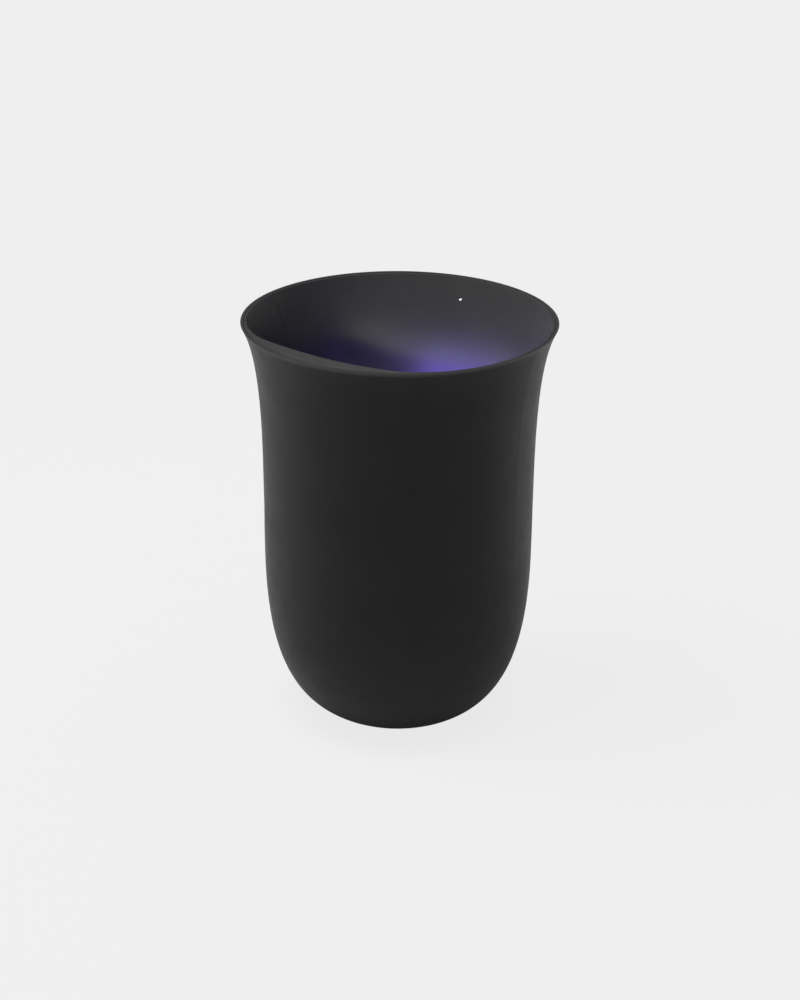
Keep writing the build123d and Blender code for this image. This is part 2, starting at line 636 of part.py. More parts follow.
def liner_solid():
    """Both liner halves as one, before they are parted."""
    wall = pocket_solid(LINER_WALL, FUNNEL_UNDERCUT) - pocket_solid() - shelf_ring(RIM_RADIUS, 0)
    wall += shelf_ring(0, -LINER_WALL) - pocket_solid()
    extras = seam_lugs()
    extras += wall_bosses(LAMP_PLANE, LAMP_SCREW_PLACES, LAMP_BOARD_Z, LAMP_BOSS)
    extras += wall_bosses(REAR_LAND, COIL_SCREW_PLACES, CARRIER_Z, LAMP_BOSS)
    for x, y in LINER_SCREW_PLACES:
        extras.append(post(x, y, LINER_FOOT, LINER_FOOT + LINER_BOSS_HEIGHT, LINER_BOSS))
    for x, y in STATUS_SCREW_PLACES:
        extras.append(post(x, y, STATUS_BOARD_TOP + SEAT_GAP, CUP_HEIGHT, STATUS_PEG))
    extras.append(post(0, STATUS_Y, STATUS_COLLAR_FOOT, CUP_HEIGHT, STATUS_STEM + LINER_WALL))
    wall += [extra - pocket_solid() for extra in extras]
    return wall & (shell_inside(LINER_GAP, LIP_GAP) & slab(LINER_FOOT, LINER_TOP))


def liner_cuts():
    window = extrude(RectangleRounded(*WINDOW, WINDOW_CORNER), 3 * LINER_WALL)
    cuts = [status_bore(), charging_land(), on(LAMP_PLANE, window, z=-LINER_WALL)]
    cuts += wall_pilots(LAMP_PLANE, LAMP_SCREW_PLACES, LAMP_BOARD_Z + LAMP_BOARD[2] + SEAT_GAP, SMALL_SCREW)
    cuts += wall_pilots(REAR_LAND, COIL_SCREW_PLACES, CARRIER_Z + CARRIER_THICK + SEAT_GAP, FINE_SCREW)
    cuts += [Pos(x, y, PLATE_LOW - SEAT_GAP) * pilot(LINER_SCREW) for x, y in LINER_SCREW_PLACES]
    cuts += [Pos(x, y, STATUS_BOARD_LOW - SEAT_GAP) * pilot(FINE_SCREW) for x, y in STATUS_SCREW_PLACES]
    cuts += [plane * Pos(0, 0, -SEAT_GAP) * pilot(SMALL_SCREW) for plane in seam_screw_planes()]
    return cuts


def liner_halves():
    """The rear half and the front half, a hairline apart along the seam."""
    whole = liner_solid() - liner_cuts()
    size = 3 * CUP_HEIGHT
    start = PARTING_GAP / 2
    rear = whole & (SEAM_PLANE * Pos(0, 0, start) * Box(size, size, size, align=UP))
    front = whole & (SEAM_PLANE * Pos(0, 0, -start) * Box(size, size, size, align=DOWN))
    return rear, front


def seam_screws():
    return [plane * Pos(0, 0, -SEAT_GAP) * screw(SMALL_SCREW) for plane in seam_screw_planes()]


def liner_screws():
    return [Pos(x, y, PLATE_LOW - SEAT_GAP) * screw(LINER_SCREW) for x, y in LINER_SCREW_PLACES]


# --- Chassis ------------------------------------------------------------------------------------
PIN_PLACES = [(hand * PIN_SPACING / 2, REST_Y) for hand in BOTH]
BOARD_SCREW_PLACES = [(x * BOARD_SCREW_X, y * BOARD_SCREW_Y) for x in BOTH for y in BOTH]


def chassis():
    plate = post(0, 0, PLATE_LOW, PLATE_TOP, PLATE_RADIUS)
    room = LINER_WALL + FIT_GAP
    collar = pocket_trunk(room + COLLAR_WALL, FUNNEL_UNDERCUT) - pocket_trunk(room, FUNNEL_UNDERCUT)
    body = plate + (collar & slab(PLATE_LOW, PLATE_TOP + COLLAR_HEIGHT) & shell_inside(FIT_GAP))
    for x, y in LINER_SCREW_PLACES:
        body -= post(x, y, PLATE_TOP, CUP_HEIGHT, LINER_BOSS + FIT_GAP)
        body -= post(x, y, PLATE_LOW, PLATE_TOP, LINER_SCREW[0] + HOLE_GAP)
    body += pocket_trunk(-FIT_GAP) & slab(PLATE_LOW, POCKET_FLOOR)
    for x, y in LEG_PLACES:
        body += post(x, y, FLOOR_TOP + SEAT_GAP, PLATE_TOP, LEG_RADIUS)
        body -= post(x, y, FLOOR_TOP, FLOOR_TOP + LONG_SCREW[1], LONG_SCREW[0] + THREAD_GAP)
    for x, y in BOARD_SCREW_PLACES:
        body += post(x, y, BOARD_TOP + SEAT_GAP, PLATE_TOP, BOSS_RADIUS)
        body -= Pos(x, y, BOARD_LOW - SEAT_GAP) * pilot(SMALL_SCREW)
    for x, y in PIN_PLACES:
        body += post(x, y, WELL_LOW, PLATE_TOP, WELL_RADIUS + WELL_WALL)
        body -= post(x, y, WELL_LOW + WELL_FLOOR, POCKET_FLOOR, WELL_RADIUS)
        body -= post(x, y, WELL_LOW, POCKET_FLOOR, PIN_RADIUS + SLIDE_GAP)
    body -= post(0, REST_Y, PLATE_LOW, POCKET_FLOOR, STEM_RADIUS + FIT_GAP)
    for y in (REAR_SLOT_Y, FRONT_SLOT_Y):
        body -= Pos(0, y, PLATE_LOW) * tile(*LEAD_SLOT, PLATE_THICK, LEAD_SLOT[1] / 2 - SLIDE_GAP)
    return body


def board_screws():
    return [Pos(x, y, BOARD_LOW - SEAT_GAP) * screw(SMALL_SCREW) for x, y in BOARD_SCREW_PLACES]


# --- Phone rest and the switch under it ---------------------------------------------------------
REST_LOW = POCKET_FLOOR + REST_TRAVEL + REST_STOP
STEM_LOW = SWITCH_TOP + REST_TRAVEL + PLUNGER_REST + SLIDE_GAP
PIN_LOW = WELL_LOW - SLIDE_GAP - CLIP_THICK - PIN_BELOW_CLIP
CLIP_LOW = WELL_LOW - SLIDE_GAP - CLIP_THICK


def phone_rest():
    body = Pos(0, REST_Y, REST_LOW) * extrude(SlotOverall(REST_LENGTH, REST_WIDTH), REST_THICK)
    body += post(0, REST_Y, STEM_LOW, REST_LOW, STEM_RADIUS)
    for x, y in PIN_PLACES:
        body += post(x, y, PIN_LOW, REST_LOW, PIN_RADIUS)
        groove = post(x, y, CLIP_LOW, CLIP_LOW + CLIP_THICK, CLIP_RADIUS)
        body -= groove - post(x, y, CLIP_LOW, CLIP_LOW + CLIP_THICK, PIN_RADIUS - CLIP_GROOVE)
    return body


def rest_pad():
    inset = 2 * REST_PAD_INSET
    outline = SlotOverall(REST_LENGTH - inset, REST_WIDTH - inset)
    pad = Pos(0, REST_Y, REST_LOW + REST_THICK) * extrude(outline, REST_PAD_THICK)
    return fillet(pad.edges().group_by(Axis.Z)[-1], REST_PAD_THICK * REST_PAD_ROUND)


def rest_clips():
    """Snap rings that keep the rest's pins in their wells."""
    clips = []
    for x, y in PIN_PLACES:
        ring = post(x, y, CLIP_LOW + THREAD_GAP, CLIP_LOW + CLIP_THICK - THREAD_GAP, CLIP_RADIUS)
        ring -= post(x, y, CLIP_LOW, CLIP_LOW + CLIP_THICK, PIN_RADIUS - CLIP_GROOVE + THREAD_GAP)
        mouth = 2 * (PIN_RADIUS - CLIP_GROOVE) * CLIP_MOUTH
        clips.append(ring - Pos(x, y + CLIP_RADIUS, CLIP_LOW) * Box(mouth, 2 * CLIP_RADIUS, 2 * CLIP_THICK))
    return clips


def rest_spring(x, y):
    low = WELL_LOW + WELL_FLOOR + SPRING_WIRE / 2 + THREAD_GAP
    length = REST_LOW - THREAD_GAP - SPRING_WIRE / 2 - low
    path = Helix(length / SPRING_TURNS, length, SPRING_RADIUS)
    start = Plane(path @ 0, z_dir=path % 0)
    return Pos(x, y, low) * sweep(start * Circle(SPRING_WIRE / 2), path)


def rest_switch():
    body = Pos(0, REST_Y, BOARD_TOP + THREAD_GAP) * Box(*SWITCH_SIZE, align=UP)
    body = chamfer(body.edges().group_by(Axis.Z)[-1], SWITCH_SIZE[2] * SWITCH_BEVEL)
    low = SWITCH_TOP - PLUNGER_SINK - REST_TRAVEL - SLIDE_GAP
    return body - post(0, REST_Y, low, 2 * SWITCH_TOP, PLUNGER_RADIUS + SLIDE_GAP)


def switch_plunger():
    top = SWITCH_TOP + REST_TRAVEL + PLUNGER_REST
    body = post(0, REST_Y, SWITCH_TOP - PLUNGER_SINK, top, PLUNGER_RADIUS)
    return fillet(body.edges().group_by(Axis.Z)[-1], PLUNGER_RADIUS * PLUNGER_ROUND)


# --- Main board ---------------------------------------------------------------------------------
def main_board():
    tongue = Pos(0, BOARD_TONGUE[1] / 2) * Rectangle(BOARD_TONGUE[0], BOARD_TONGUE[1])
    board = Pos(0, 0, BOARD_LOW) * extrude(Circle(BOARD_RADIUS) + tongue, BOARD_THICK)
    for x, y in LEG_PLACES:
        board -= post(x, y, BOARD_LOW, BOARD_TOP, LEG_RADIUS + LEG_GAP)
    for x, y in BOARD_SCREW_PLACES:
        board -= post(x, y, BOARD_LOW, BOARD_TOP, SMALL_SCREW[0] + HOLE_GAP)
    return board


def on_board(shape, place):
    return Pos(*place, BOARD_TOP + THREAD_GAP) * shape


def chip():
    body = Box(*CHIP_SIZE, align=UP)
    dot = Pos(CHIP_SIZE[0] * CHIP_DOT_AT, CHIP_SIZE[1] * CHIP_DOT_AT, CHIP_SIZE[2] - CHIP_DOT_DEPTH)
    return body - dot * Cylinder(CHIP_SIZE[0] * CHIP_DOT, 2 * CHIP_DOT_DEPTH, align=UP)


def inductor():
    body = tile(INDUCTOR_SIZE, INDUCTOR_SIZE, INDUCTOR_HEIGHT, INDUCTOR_SIZE * INDUCTOR_CORNER)
    return chamfer(body.edges().group_by(Axis.Z)[-1], INDUCTOR_HEIGHT * INDUCTOR_BEVEL)


def capacitor():
    """A can with a squared foot."""
    foot = CAPACITOR_FOOT
    can = Pos(0, 0, foot) * Cylinder(CAPACITOR_RADIUS, CAPACITOR_HEIGHT - foot, align=UP)
    can = fillet(can.edges().group_by(Axis.Z)[-1], CAPACITOR_RADIUS * CAPACITOR_ROUND)
    side = CAPACITOR_BASE * CAPACITOR_RADIUS
    return can + Box(side, side, foot, align=UP)


def socket(turn):
    """A lead socket with its plug's recess at one side."""
    body = Box(*CONNECTOR_SIZE, align=UP)
    depth = CONNECTOR_SIZE[1] * CONNECTOR_MOUTH[0]
    height = CONNECTOR_SIZE[2] * CONNECTOR_MOUTH[1]
    recess = Box(CONNECTOR_PLUG, depth, height, align=(Align.CENTER, Align.MIN, Align.CENTER))
    body -= Pos(0, CONNECTOR_SIZE[1] / 2 - depth, CONNECTOR_SIZE[2] / 2) * recess
    return Rot(0, 0, turn) * body


# --- Power socket -------------------------------------------------------------------------------
def usb_shell():
    back = USB_MOUTH_Y - USB_DEPTH
    tube = port_block(USB_WIDTH, USB_HEIGHT, back, USB_MOUTH_Y)
    tube -= port_block(USB_WIDTH - 2 * USB_WALL, USB_HEIGHT - 2 * USB_WALL, 0, CUP_HEIGHT)
    return tube


def usb_tongue():
    """The moulded core, a block at the back with the contact tongue on it."""
    back = USB_MOUTH_Y - USB_DEPTH
    gap = 2 * (USB_WALL + THREAD_GAP)
    core = port_block(USB_WIDTH - gap, USB_HEIGHT - gap, back, back + USB_BACK)
    tongue = Pos(0, back + USB_BACK, USB_AXIS_Z)
    blade = Box(*USB_TONGUE, align=(Align.CENTER, Align.MIN, Align.CENTER))
    return core + tongue * blade


def usb_contacts():
    contacts = []
    y = USB_MOUTH_Y - USB_DEPTH + USB_BACK + SLIDE_GAP
    row = USB_PITCH * (USB_CONTACTS - 1)
    for index in range(USB_CONTACTS):
        x = index * USB_PITCH - row / 2
        for hand in BOTH:
            z = USB_AXIS_Z + hand * (USB_TONGUE[2] + USB_CONTACT[2]) / 2
            blade = Box(*USB_CONTACT, align=(Align.CENTER, Align.MIN, Align.CENTER))
            contacts.append(Pos(x, y, z) * blade)
    return contacts


def port_bezel():
    """The insert in the shell round the power socket, flush with the cup's outside."""
    back = USB_MOUTH_Y - BEZEL_BACK
    body = port_block(BEZEL_WIDTH, BEZEL_HEIGHT, back, RIM_RADIUS) & cup_solid(0, 0)
    body -= port_block(*BEZEL_MOUTH, USB_MOUTH_Y, RIM_RADIUS)
    return body - port_block(USB_WIDTH + 2 * SLIDE_GAP, USB_HEIGHT + 2 * SLIDE_GAP, 0, RIM_RADIUS)


# --- Charging coil ------------------------------------------------------------------------------
def charging_coil():
    """Turns of flat-wound wire, bound into one disc by the adhesive web under them."""
    pitch = (COIL_RADIUS - COIL_HOLE) / COIL_TURNS
    web = Cylinder(COIL_RADIUS, COIL_WIRE * COIL_WEB, align=UP) - Cylinder(COIL_HOLE, COIL_WIRE, align=UP)
    for turn in range(COIL_TURNS):
        inner = COIL_HOLE + turn * pitch
        ring = Cylinder(inner + pitch - COIL_GROOVE, COIL_WIRE, align=UP)
        web += ring - Cylinder(inner, COIL_WIRE, align=UP)
    return on(REAR_LAND, web, z=COIL_Z)


def ferrite_disc():
    return on(REAR_LAND, Cylinder(FERRITE_RADIUS, FERRITE_THICK, align=UP), z=FERRITE_Z)


def coil_carrier():
    plate = tile(CARRIER_SIZE, CARRIER_SIZE, CARRIER_THICK, CARRIER_CORNER)
    for x, y in COIL_SCREW_PLACES:
        plate -= Pos(x, y) * Cylinder(FINE_SCREW[0] + HOLE_GAP, CARRIER_THICK, align=UP)
    return on(REAR_LAND, plate - Cylinder(COIL_HOLE / 2, CARRIER_THICK, align=UP), z=CARRIER_Z)


def coil_screws():
    level = CARRIER_Z + CARRIER_THICK + SEAT_GAP
    return [on(REAR_LAND, Rot(180, 0, 0) * screw(FINE_SCREW), x, y, level) for x, y in COIL_SCREW_PLACES]


def coil_sensor():
    bead = Cylinder(SENSOR_RADIUS, COIL_WIRE, align=UP)
    return on(REAR_LAND, fillet(bead.edges().group_by(Axis.Z)[-1], COIL_WIRE * SENSOR_ROUND), z=COIL_Z)


# --- Ultraviolet lamp ---------------------------------------------------------------------------
def lamp_plate(thick, margin):
    return tile(WINDOW[0] + 2 * margin, WINDOW[1] + 2 * margin, thick, WINDOW_CORNER + margin)


def window_gasket():
    ring = lamp_plate(GASKET_THICK, GASKET_WIDTH) - lamp_plate(GASKET_THICK, 0)
    return on(LAMP_PLANE, ring, z=GASKET_Z)


def lamp_window():
    return on(LAMP_PLANE, lamp_plate(PANE_THICK, PANE_MARGIN), z=PANE_Z)


def lamp_reflector():
    """A frame whose inside narrows from the window to the emitters."""
    frame = lamp_plate(REFLECTOR_THICK, PANE_MARGIN)
    wide = RectangleRounded(*WINDOW, WINDOW_CORNER)
    size = [side - 2 * REFLECTOR_TAPER for side in WINDOW]
    narrow = Pos(0, 0, REFLECTOR_THICK) * RectangleRounded(*size, WINDOW_CORNER)
    return on(LAMP_PLANE, frame - loft([wide, narrow]), z=REFLECTOR_Z)


def lamp_board():
    board = tile(*LAMP_BOARD, WINDOW_CORNER)
    for x, y in LAMP_SCREW_PLACES:
        board -= Pos(x, y) * Cylinder(SMALL_SCREW[0] + HOLE_GAP, LAMP_BOARD[2], align=UP)
    return on(LAMP_PLANE, board, z=LAMP_BOARD_Z)


def lamp_emitters():
    emitters = []
    start = -EMITTER_PITCH * (EMITTER_COUNT - 1) / 2
    for index in range(EMITTER_COUNT):
        base_thick = EMITTER_THICK * EMITTER_BASE
        base = Box(EMITTER_SIZE, EMITTER_SIZE, base_thick, align=DOWN)
        dome = Cylinder(EMITTER_SIZE * EMITTER_DOME, EMITTER_THICK * EMITTER_DOME, align=DOWN)
        dome = Pos(0, 0, -base_thick) * dome
        level = LAMP_BOARD_Z - THREAD_GAP
        emitters.append(on(LAMP_PLANE, base + dome, y=start + index * EMITTER_PITCH, z=level))
    return emitters


def heat_sink():
    sink = Box(*SINK_SIZE, SINK_BASE, align=UP)
    pitch = (SINK_SIZE[0] - SINK_FIN) / (SINK_FINS - 1)
    for index in range(SINK_FINS):
        x = index * pitch - (SINK_SIZE[0] - SINK_FIN) / 2
        sink += Pos(x, 0, 0) * Box(SINK_FIN, SINK_SIZE[1], SINK_BASE + SINK_FIN_HEIGHT, align=UP)
    return on(LAMP_PLANE, sink, z=SINK_Z)


def lamp_screws():
    level = LAMP_BOARD_Z + LAMP_BOARD[2] + SEAT_GAP
    return [on(LAMP_PLANE, Rot(180, 0, 0) * screw(SMALL_SCREW), x, y, level) for x, y in LAMP_SCREW_PLACES]


# --- Status light -------------------------------------------------------------------------------
def light_pipe():
    """A clear stem with a thin tip that ends flush in the funnel's rear flare."""
    low = STATUS_BOARD_TOP + STATUS_LED[2] + SLIDE_GAP
    pipe = post(0, STATUS_Y, low, STATUS_STEM_TOP, STATUS_STEM)
    pipe += post(0, STATUS_Y, STATUS_STEM_TOP, CUP_HEIGHT, STATUS_TIP)
    return pipe - pocket_solid()


def status_board():
    board = Pos(0, STATUS_Y, STATUS_BOARD_LOW) * tile(*STATUS_BOARD, STATUS_BOARD[2])
    for x, y in STATUS_SCREW_PLACES:
        board -= post(x, y, STATUS_BOARD_LOW, STATUS_BOARD_TOP, FINE_SCREW[0] + HOLE_GAP)
    return board


def status_led():
    return Pos(0, STATUS_Y, STATUS_BOARD_TOP + THREAD_GAP) * Box(*STATUS_LED, align=UP)


def status_screws():
    return [Pos(x, y, STATUS_BOARD_LOW - SEAT_GAP) * screw(FINE_SCREW) for x, y in STATUS_SCREW_PLACES]


# --- All nodes ----------------------------------------------------------------------------------
# --- Leads, held by the sockets and by the slots in the chassis plate ---------------------------
def lead(start_way, end_way, *points):
    """A round lead along a smooth line through the points, with the directions of its two ends."""
    path = Spline(*points, tangents=(start_way, end_way))
    return sweep(Plane(path @ 0, z_dir=path % 0) * Circle(LEAD_RADIUS), path)


def socket_end(place, hand):
    """Where a lead ends inside a socket that opens towards that side."""
    mouth = place[1] + hand * CONNECTOR_SIZE[1] / 2
    return Vector(place[0], mouth - hand * LEAD_PLUG_DEPTH, BOARD_TOP + THREAD_GAP + CONNECTOR_SIZE[2] / 2)


def rear_slot(x):
    """A lead's points in the slot and in its bend below the plate."""
    below = Vector(x, REAR_SLOT_Y - LEAD_RADIUS, PLATE_LOW - 4 * LEAD_RADIUS)
    return Vector(x, REAR_SLOT_Y, PLATE_TOP), below


def coil_lead():
    """From the lower edge of the coil, between the liner and the carrier, to the board."""
    level = COIL_Z + LEAD_RADIUS + FIT_GAP
    start = REAR_LAND.from_local_coords(Vector(-COIL_LEAD_X, -FERRITE_RADIUS - SEAT_GAP, level))
    along = -REAR_LAND.y_dir
    bend = start + along * CARRIER_SIZE / 6 + REAR_LAND.z_dir * LEAD_RADIUS
    points = [start, bend, *rear_slot(COIL_LEAD_X)]
    return lead(along, Vector(0, -1, 0), *points, socket_end(COIL_SOCKET_AT, 1))


def status_lead():
    """From the small board under the rim, down the open space behind the coil, to the board."""
    start = Vector(STATUS_PEG_X / 2, STATUS_Y - STATUS_BOARD[1] / 4, STATUS_BOARD_LOW - THREAD_GAP)
    bends = []
    for out, up in (STATUS_LEAD_HIGH, STATUS_LEAD_LOW):
        bends.append(Vector(STATUS_LEAD_X, STATUS_Y * out, between(PLATE_TOP, STATUS_BOARD_LOW, up)))
    points = [start, *bends, *rear_slot(STATUS_LEAD_X)]
    return lead(Vector(0, 0, -1), Vector(0, -1, 0), *points, socket_end(STATUS_SOCKET_AT, 1))


def lamp_lead():
    """From the bare foot of the lamp board's back, down through the front slot, to the board."""
    level = LAMP_BOARD_Z + LAMP_BOARD[2] + SEAT_GAP + LEAD_RADIUS
    start = LAMP_PLANE.from_local_coords(Vector(LAMP_LEAD_X, -LAMP_SCREW[1], level))
    slot = Vector(LAMP_LEAD_X, FRONT_SLOT_Y, PLATE_TOP)
    end = socket_end(LAMP_SOCKET_AT, -1)
    bend = Vector((LAMP_LEAD_X + end.X) / 2, FRONT_SLOT_Y + LEAD_RADIUS, PLATE_LOW - 6 * LEAD_RADIUS)
    return lead(-LAMP_PLANE.y_dir, Vector(0, 1, 0), start, slot, bend, end)


def save(name, shape):
    shape = Compound(children=shape) if isinstance(shape, list) else shape
    shape.label = name
    export_step(shape, os.path.join("parts", name + ".step"))


def build():
    os.makedirs("parts", exist_ok=True)
    liner_rear, liner_front = liner_halves()
    save("outer_shell", outer_shell())
    save("liner_rear", liner_rear)
    save("liner_front", liner_front)
    save("foot_ring", foot_ring())
    save("base_cover", base_cover())
    save("cover_screws", cover_screws())
    save("ballast", ballast())
    save("chassis", chassis())
    save("chassis_screws", chassis_screws())
    save("liner_screws", liner_screws())
    save("seam_screws", seam_screws())
    save("phone_rest", phone_rest())
    save("rest_pad", rest_pad())
    save("rest_clips", rest_clips())
    save("rest_spring_left", rest_spring(*PIN_PLACES[0]))
    save("rest_spring_right", rest_spring(*PIN_PLACES[1]))
    save("rest_switch", rest_switch())
    save("switch_plunger", switch_plunger())
    save("main_board", main_board())
    save("board_screws", board_screws())
    save("charger_chip", on_board(chip(), CHARGER_CHIP_AT))
    save("control_chip", on_board(chip(), CONTROL_CHIP_AT))
    save("inductors", [on_board(inductor(), place) for place in INDUCTOR_PLACES])
    save("capacitors", [on_board(capacitor(), place) for place in CAPACITOR_PLACES])
    save("coil_socket", on_board(socket(0), COIL_SOCKET_AT))
    save("status_socket", on_board(socket(0), STATUS_SOCKET_AT))
    save("lamp_socket", on_board(socket(180), LAMP_SOCKET_AT))
    save("usb_shell", usb_shell())
    save("usb_tongue", usb_tongue())
    save("usb_contacts", usb_contacts())
    save("port_bezel", port_bezel())
    save("charging_coil", charging_coil())
    save("ferrite_disc", ferrite_disc())
    save("coil_carrier", coil_carrier())
    save("coil_screws", coil_screws())
    save("coil_sensor", coil_sensor())
    save("window_gasket", window_gasket())
    save("lamp_window", lamp_window())
    save("lamp_reflector", lamp_reflector())
    save("lamp_board", lamp_board())
    save("lamp_emitters", lamp_emitters())
    save("heat_sink", heat_sink())
    save("lamp_screws", lamp_screws())
    save("light_pipe", light_pipe())
    save("status_board", status_board())
    save("status_led", status_led())
    save("status_screws", status_screws())
    save("coil_lead", coil_lead())
    save("status_lead", status_lead())
    save("lamp_lead", lamp_lead())


build()
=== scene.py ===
# %% [markdown]
# # A cup that holds, charges and sanitizes a phone
#
# The solid parts come from the CAD model, which is loaded as a fixed frame. This lesson gives them
# their finishes, and adds what CAD leaves plain: screw threads, wound springs, the wound coil, the
# small parts on the main board and the emitters. All lengths are in metres, with Z up and the
# origin under the foot.

# %% Load the frame
import bmesh
import bpy
from math import cos, radians, sin
from mathutils import Matrix, Vector


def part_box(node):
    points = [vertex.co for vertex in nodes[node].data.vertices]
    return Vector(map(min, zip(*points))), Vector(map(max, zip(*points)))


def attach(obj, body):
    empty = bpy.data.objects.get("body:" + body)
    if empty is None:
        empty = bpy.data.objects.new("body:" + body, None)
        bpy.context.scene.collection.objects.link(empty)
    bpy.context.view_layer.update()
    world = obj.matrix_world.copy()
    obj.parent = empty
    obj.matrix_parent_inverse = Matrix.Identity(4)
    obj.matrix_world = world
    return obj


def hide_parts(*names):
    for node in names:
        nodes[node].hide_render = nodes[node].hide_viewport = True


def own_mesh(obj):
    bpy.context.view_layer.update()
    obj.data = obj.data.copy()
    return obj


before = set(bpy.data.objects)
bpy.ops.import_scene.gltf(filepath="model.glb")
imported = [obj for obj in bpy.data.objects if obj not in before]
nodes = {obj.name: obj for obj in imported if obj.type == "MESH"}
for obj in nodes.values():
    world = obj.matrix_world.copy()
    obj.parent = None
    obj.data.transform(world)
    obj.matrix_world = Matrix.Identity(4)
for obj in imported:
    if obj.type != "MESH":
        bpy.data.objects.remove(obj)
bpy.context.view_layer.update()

# %% [markdown]
# ## Camera
# The cup is seen from above the rim, so that the funnel and the back wall of the pocket show. A
# 57 mm lens on a 36 mm high sensor, 0.69 m away, gives a mild perspective. The place is worked out
# from two angles and a distance, which are easier to judge than coordinates, and the camera is
# rolled by less than half a degree.

# %% Camera
VIEW_AZIMUTH = radians(33)
VIEW_HEIGHT = radians(25.91)
VIEW_DISTANCE = 0.690
VIEW_TARGET = Vector((0, 0, 0.090))
VIEW_ROLL = radians(0.44)
LENS, SENSOR_HEIGHT = 57.30, 36.0  # millimetres
SHIFT = (0.0017, 0.0164)


def add_object(name, data):
    thing = bpy.data.objects.new(name, data)
    bpy.context.scene.collection.objects.link(thing)
    return thing


view_way = Vector((
    sin(VIEW_AZIMUTH) * cos(VIEW_HEIGHT),
    -cos(VIEW_AZIMUTH) * cos(VIEW_HEIGHT),
    sin(VIEW_HEIGHT),
))
camera_data = bpy.data.cameras.new("camera")
camera_data.sensor_fit = "VERTICAL"
camera_data.sensor_height = SENSOR_HEIGHT
camera_data.lens = LENS
camera_data.shift_x, camera_data.shift_y = SHIFT
camera = add_object("camera", camera_data)
camera.location = VIEW_TARGET + view_way * VIEW_DISTANCE
look = (-view_way).to_track_quat("-Z", "Y")
camera.rotation_euler = (look.to_matrix() @ Matrix.Rotation(VIEW_ROLL, 3, "Z")).to_euler()
bpy.context.scene.camera = camera
print("camera at", tuple(round(v, 4) for v in camera.location))

# %% [markdown]
# ## Helpers for materials
# A material is a small tree of nodes. The same few steps come back in every one: a place in Object
# coordinates, a sum, a change of range, a mix of two colours or of two shaders. Each gets a helper,
# so that a finish can be read as a recipe.

# %% Start a material
def new_material(name):
    material = bpy.data.materials.new(name)
    material.use_nodes = True
    tree = material.node_tree
    return material, tree, tree.nodes["Principled BSDF"]


def link(tree, out_socket, in_socket):
    tree.links.new(out_socket, in_socket)


def object_place(tree):
    return tree.nodes.new("ShaderNodeTexCoord").outputs["Object"]


print("every finish starts as a Principled BSDF")


# %% Sums, ranges and mixes
def math_node(tree, operation, *values):
    node = tree.nodes.new("ShaderNodeMath")
    node.operation = operation
    for place, value in zip(node.inputs, values):
        if isinstance(value, (int, float)):
            place.default_value = value
        else:
            link(tree, value, place)
    return node.outputs["Value"]


def vector_math(tree, operation, first, second=None):
    node = tree.nodes.new("ShaderNodeVectorMath")
    node.operation = operation
    link(tree, first, node.inputs[0])
    if second:
        node.inputs[1].default_value = second
    return node.outputs["Value" if operation == "LENGTH" else "Vector"]


def span(tree, value, low, high, start=0.0, end=1.0, smooth=False):
    """Maps a value from low..high to start..end."""
    node = tree.nodes.new("ShaderNodeMapRange")
    if smooth:
        node.interpolation_type = "SMOOTHSTEP"
    numbers = {"From Min": low, "From Max": high, "To Min": start, "To Max": end}
    for socket, number in numbers.items():
        node.inputs[socket].default_value = number
    link(tree, value, node.inputs["Value"])
    return node.outputs["Result"]


def mix_colours(tree, value, first, second):
    """Mixes two colours, each given as red, green and blue or as another node's socket."""
    node = tree.nodes.new("ShaderNodeMix")
    node.data_type = "RGBA"
    link(tree, value, node.inputs["Factor"])
    for socket, colour in (("A", first), ("B", second)):
        place = next(s for s in node.inputs if s.name == socket and s.type == "RGBA")
        if isinstance(colour, tuple):
            place.default_value = (*colour, 1)
        else:
            link(tree, colour, place)
    return next(s for s in node.outputs if s.type == "RGBA")


def mix_shaders(tree, share, first, second):
    node = tree.nodes.new("ShaderNodeMixShader")
    for place, socket in zip(node.inputs, (share, first, second)):
        link(tree, socket, place)
    return node.outputs["Shader"]


print("Math, Map Range and Mix nodes have their helpers")

# %% [markdown]
# ## Floor
# The cup stands on a sheet of pale paper that runs far back. Paper scatters light evenly, so the
# material is a plain rough one. To the eye, and through glass, most of the paper near the cup is an
# even glow of the same colour, which keeps the backdrop pale and the shadow faint. A mirror sees a
# small share of that glow. Far from the cup there is no shadow to keep, so there the glow is all
# that the eye sees, and the uneven light of the lamps doesn't show.
#
# Light that comes back from the paper is scattered by its own colour. Close to the foot that colour
# falls to nearly black, for the shade of contact, so the bowl gets darker where it nears the paper.
# The paper's underside lets the eye through, so the foot can be looked at from below.

# %% The paper's finish
PAPER = (0.863, 0.863, 0.863)
PAPER_REACH = 12.0
PAPER_ROUGHNESS = 0.9
PAPER_GLOW = 0.93  # share of the glow near the cup
MIRROR_GLOW = 0.12  # the same for a mirror
GLOW_NEAR, GLOW_FAR = 0.12, 0.55  # the glow grows to its full share between these distances
SHADE = (0.02, 0.02, 0.02)
SHADE_FROM, SHADE_TO = 0.034, 0.060  # distances over which the shade gives way to the paper


def glow_share(tree, share=1.0):
    """How much of the glow a ray sees: the share for the eye and glass, less for a mirror."""
    ray = tree.nodes.new("ShaderNodeLightPath").outputs
    seen = math_node(tree, "MAXIMUM", ray["Is Camera Ray"], ray["Is Transmission Ray"])
    seen = math_node(tree, "MULTIPLY", seen, share)
    mirrored = math_node(tree, "MULTIPLY", ray["Is Glossy Ray"], MIRROR_GLOW)
    return math_node(tree, "MAXIMUM", seen, mirrored)


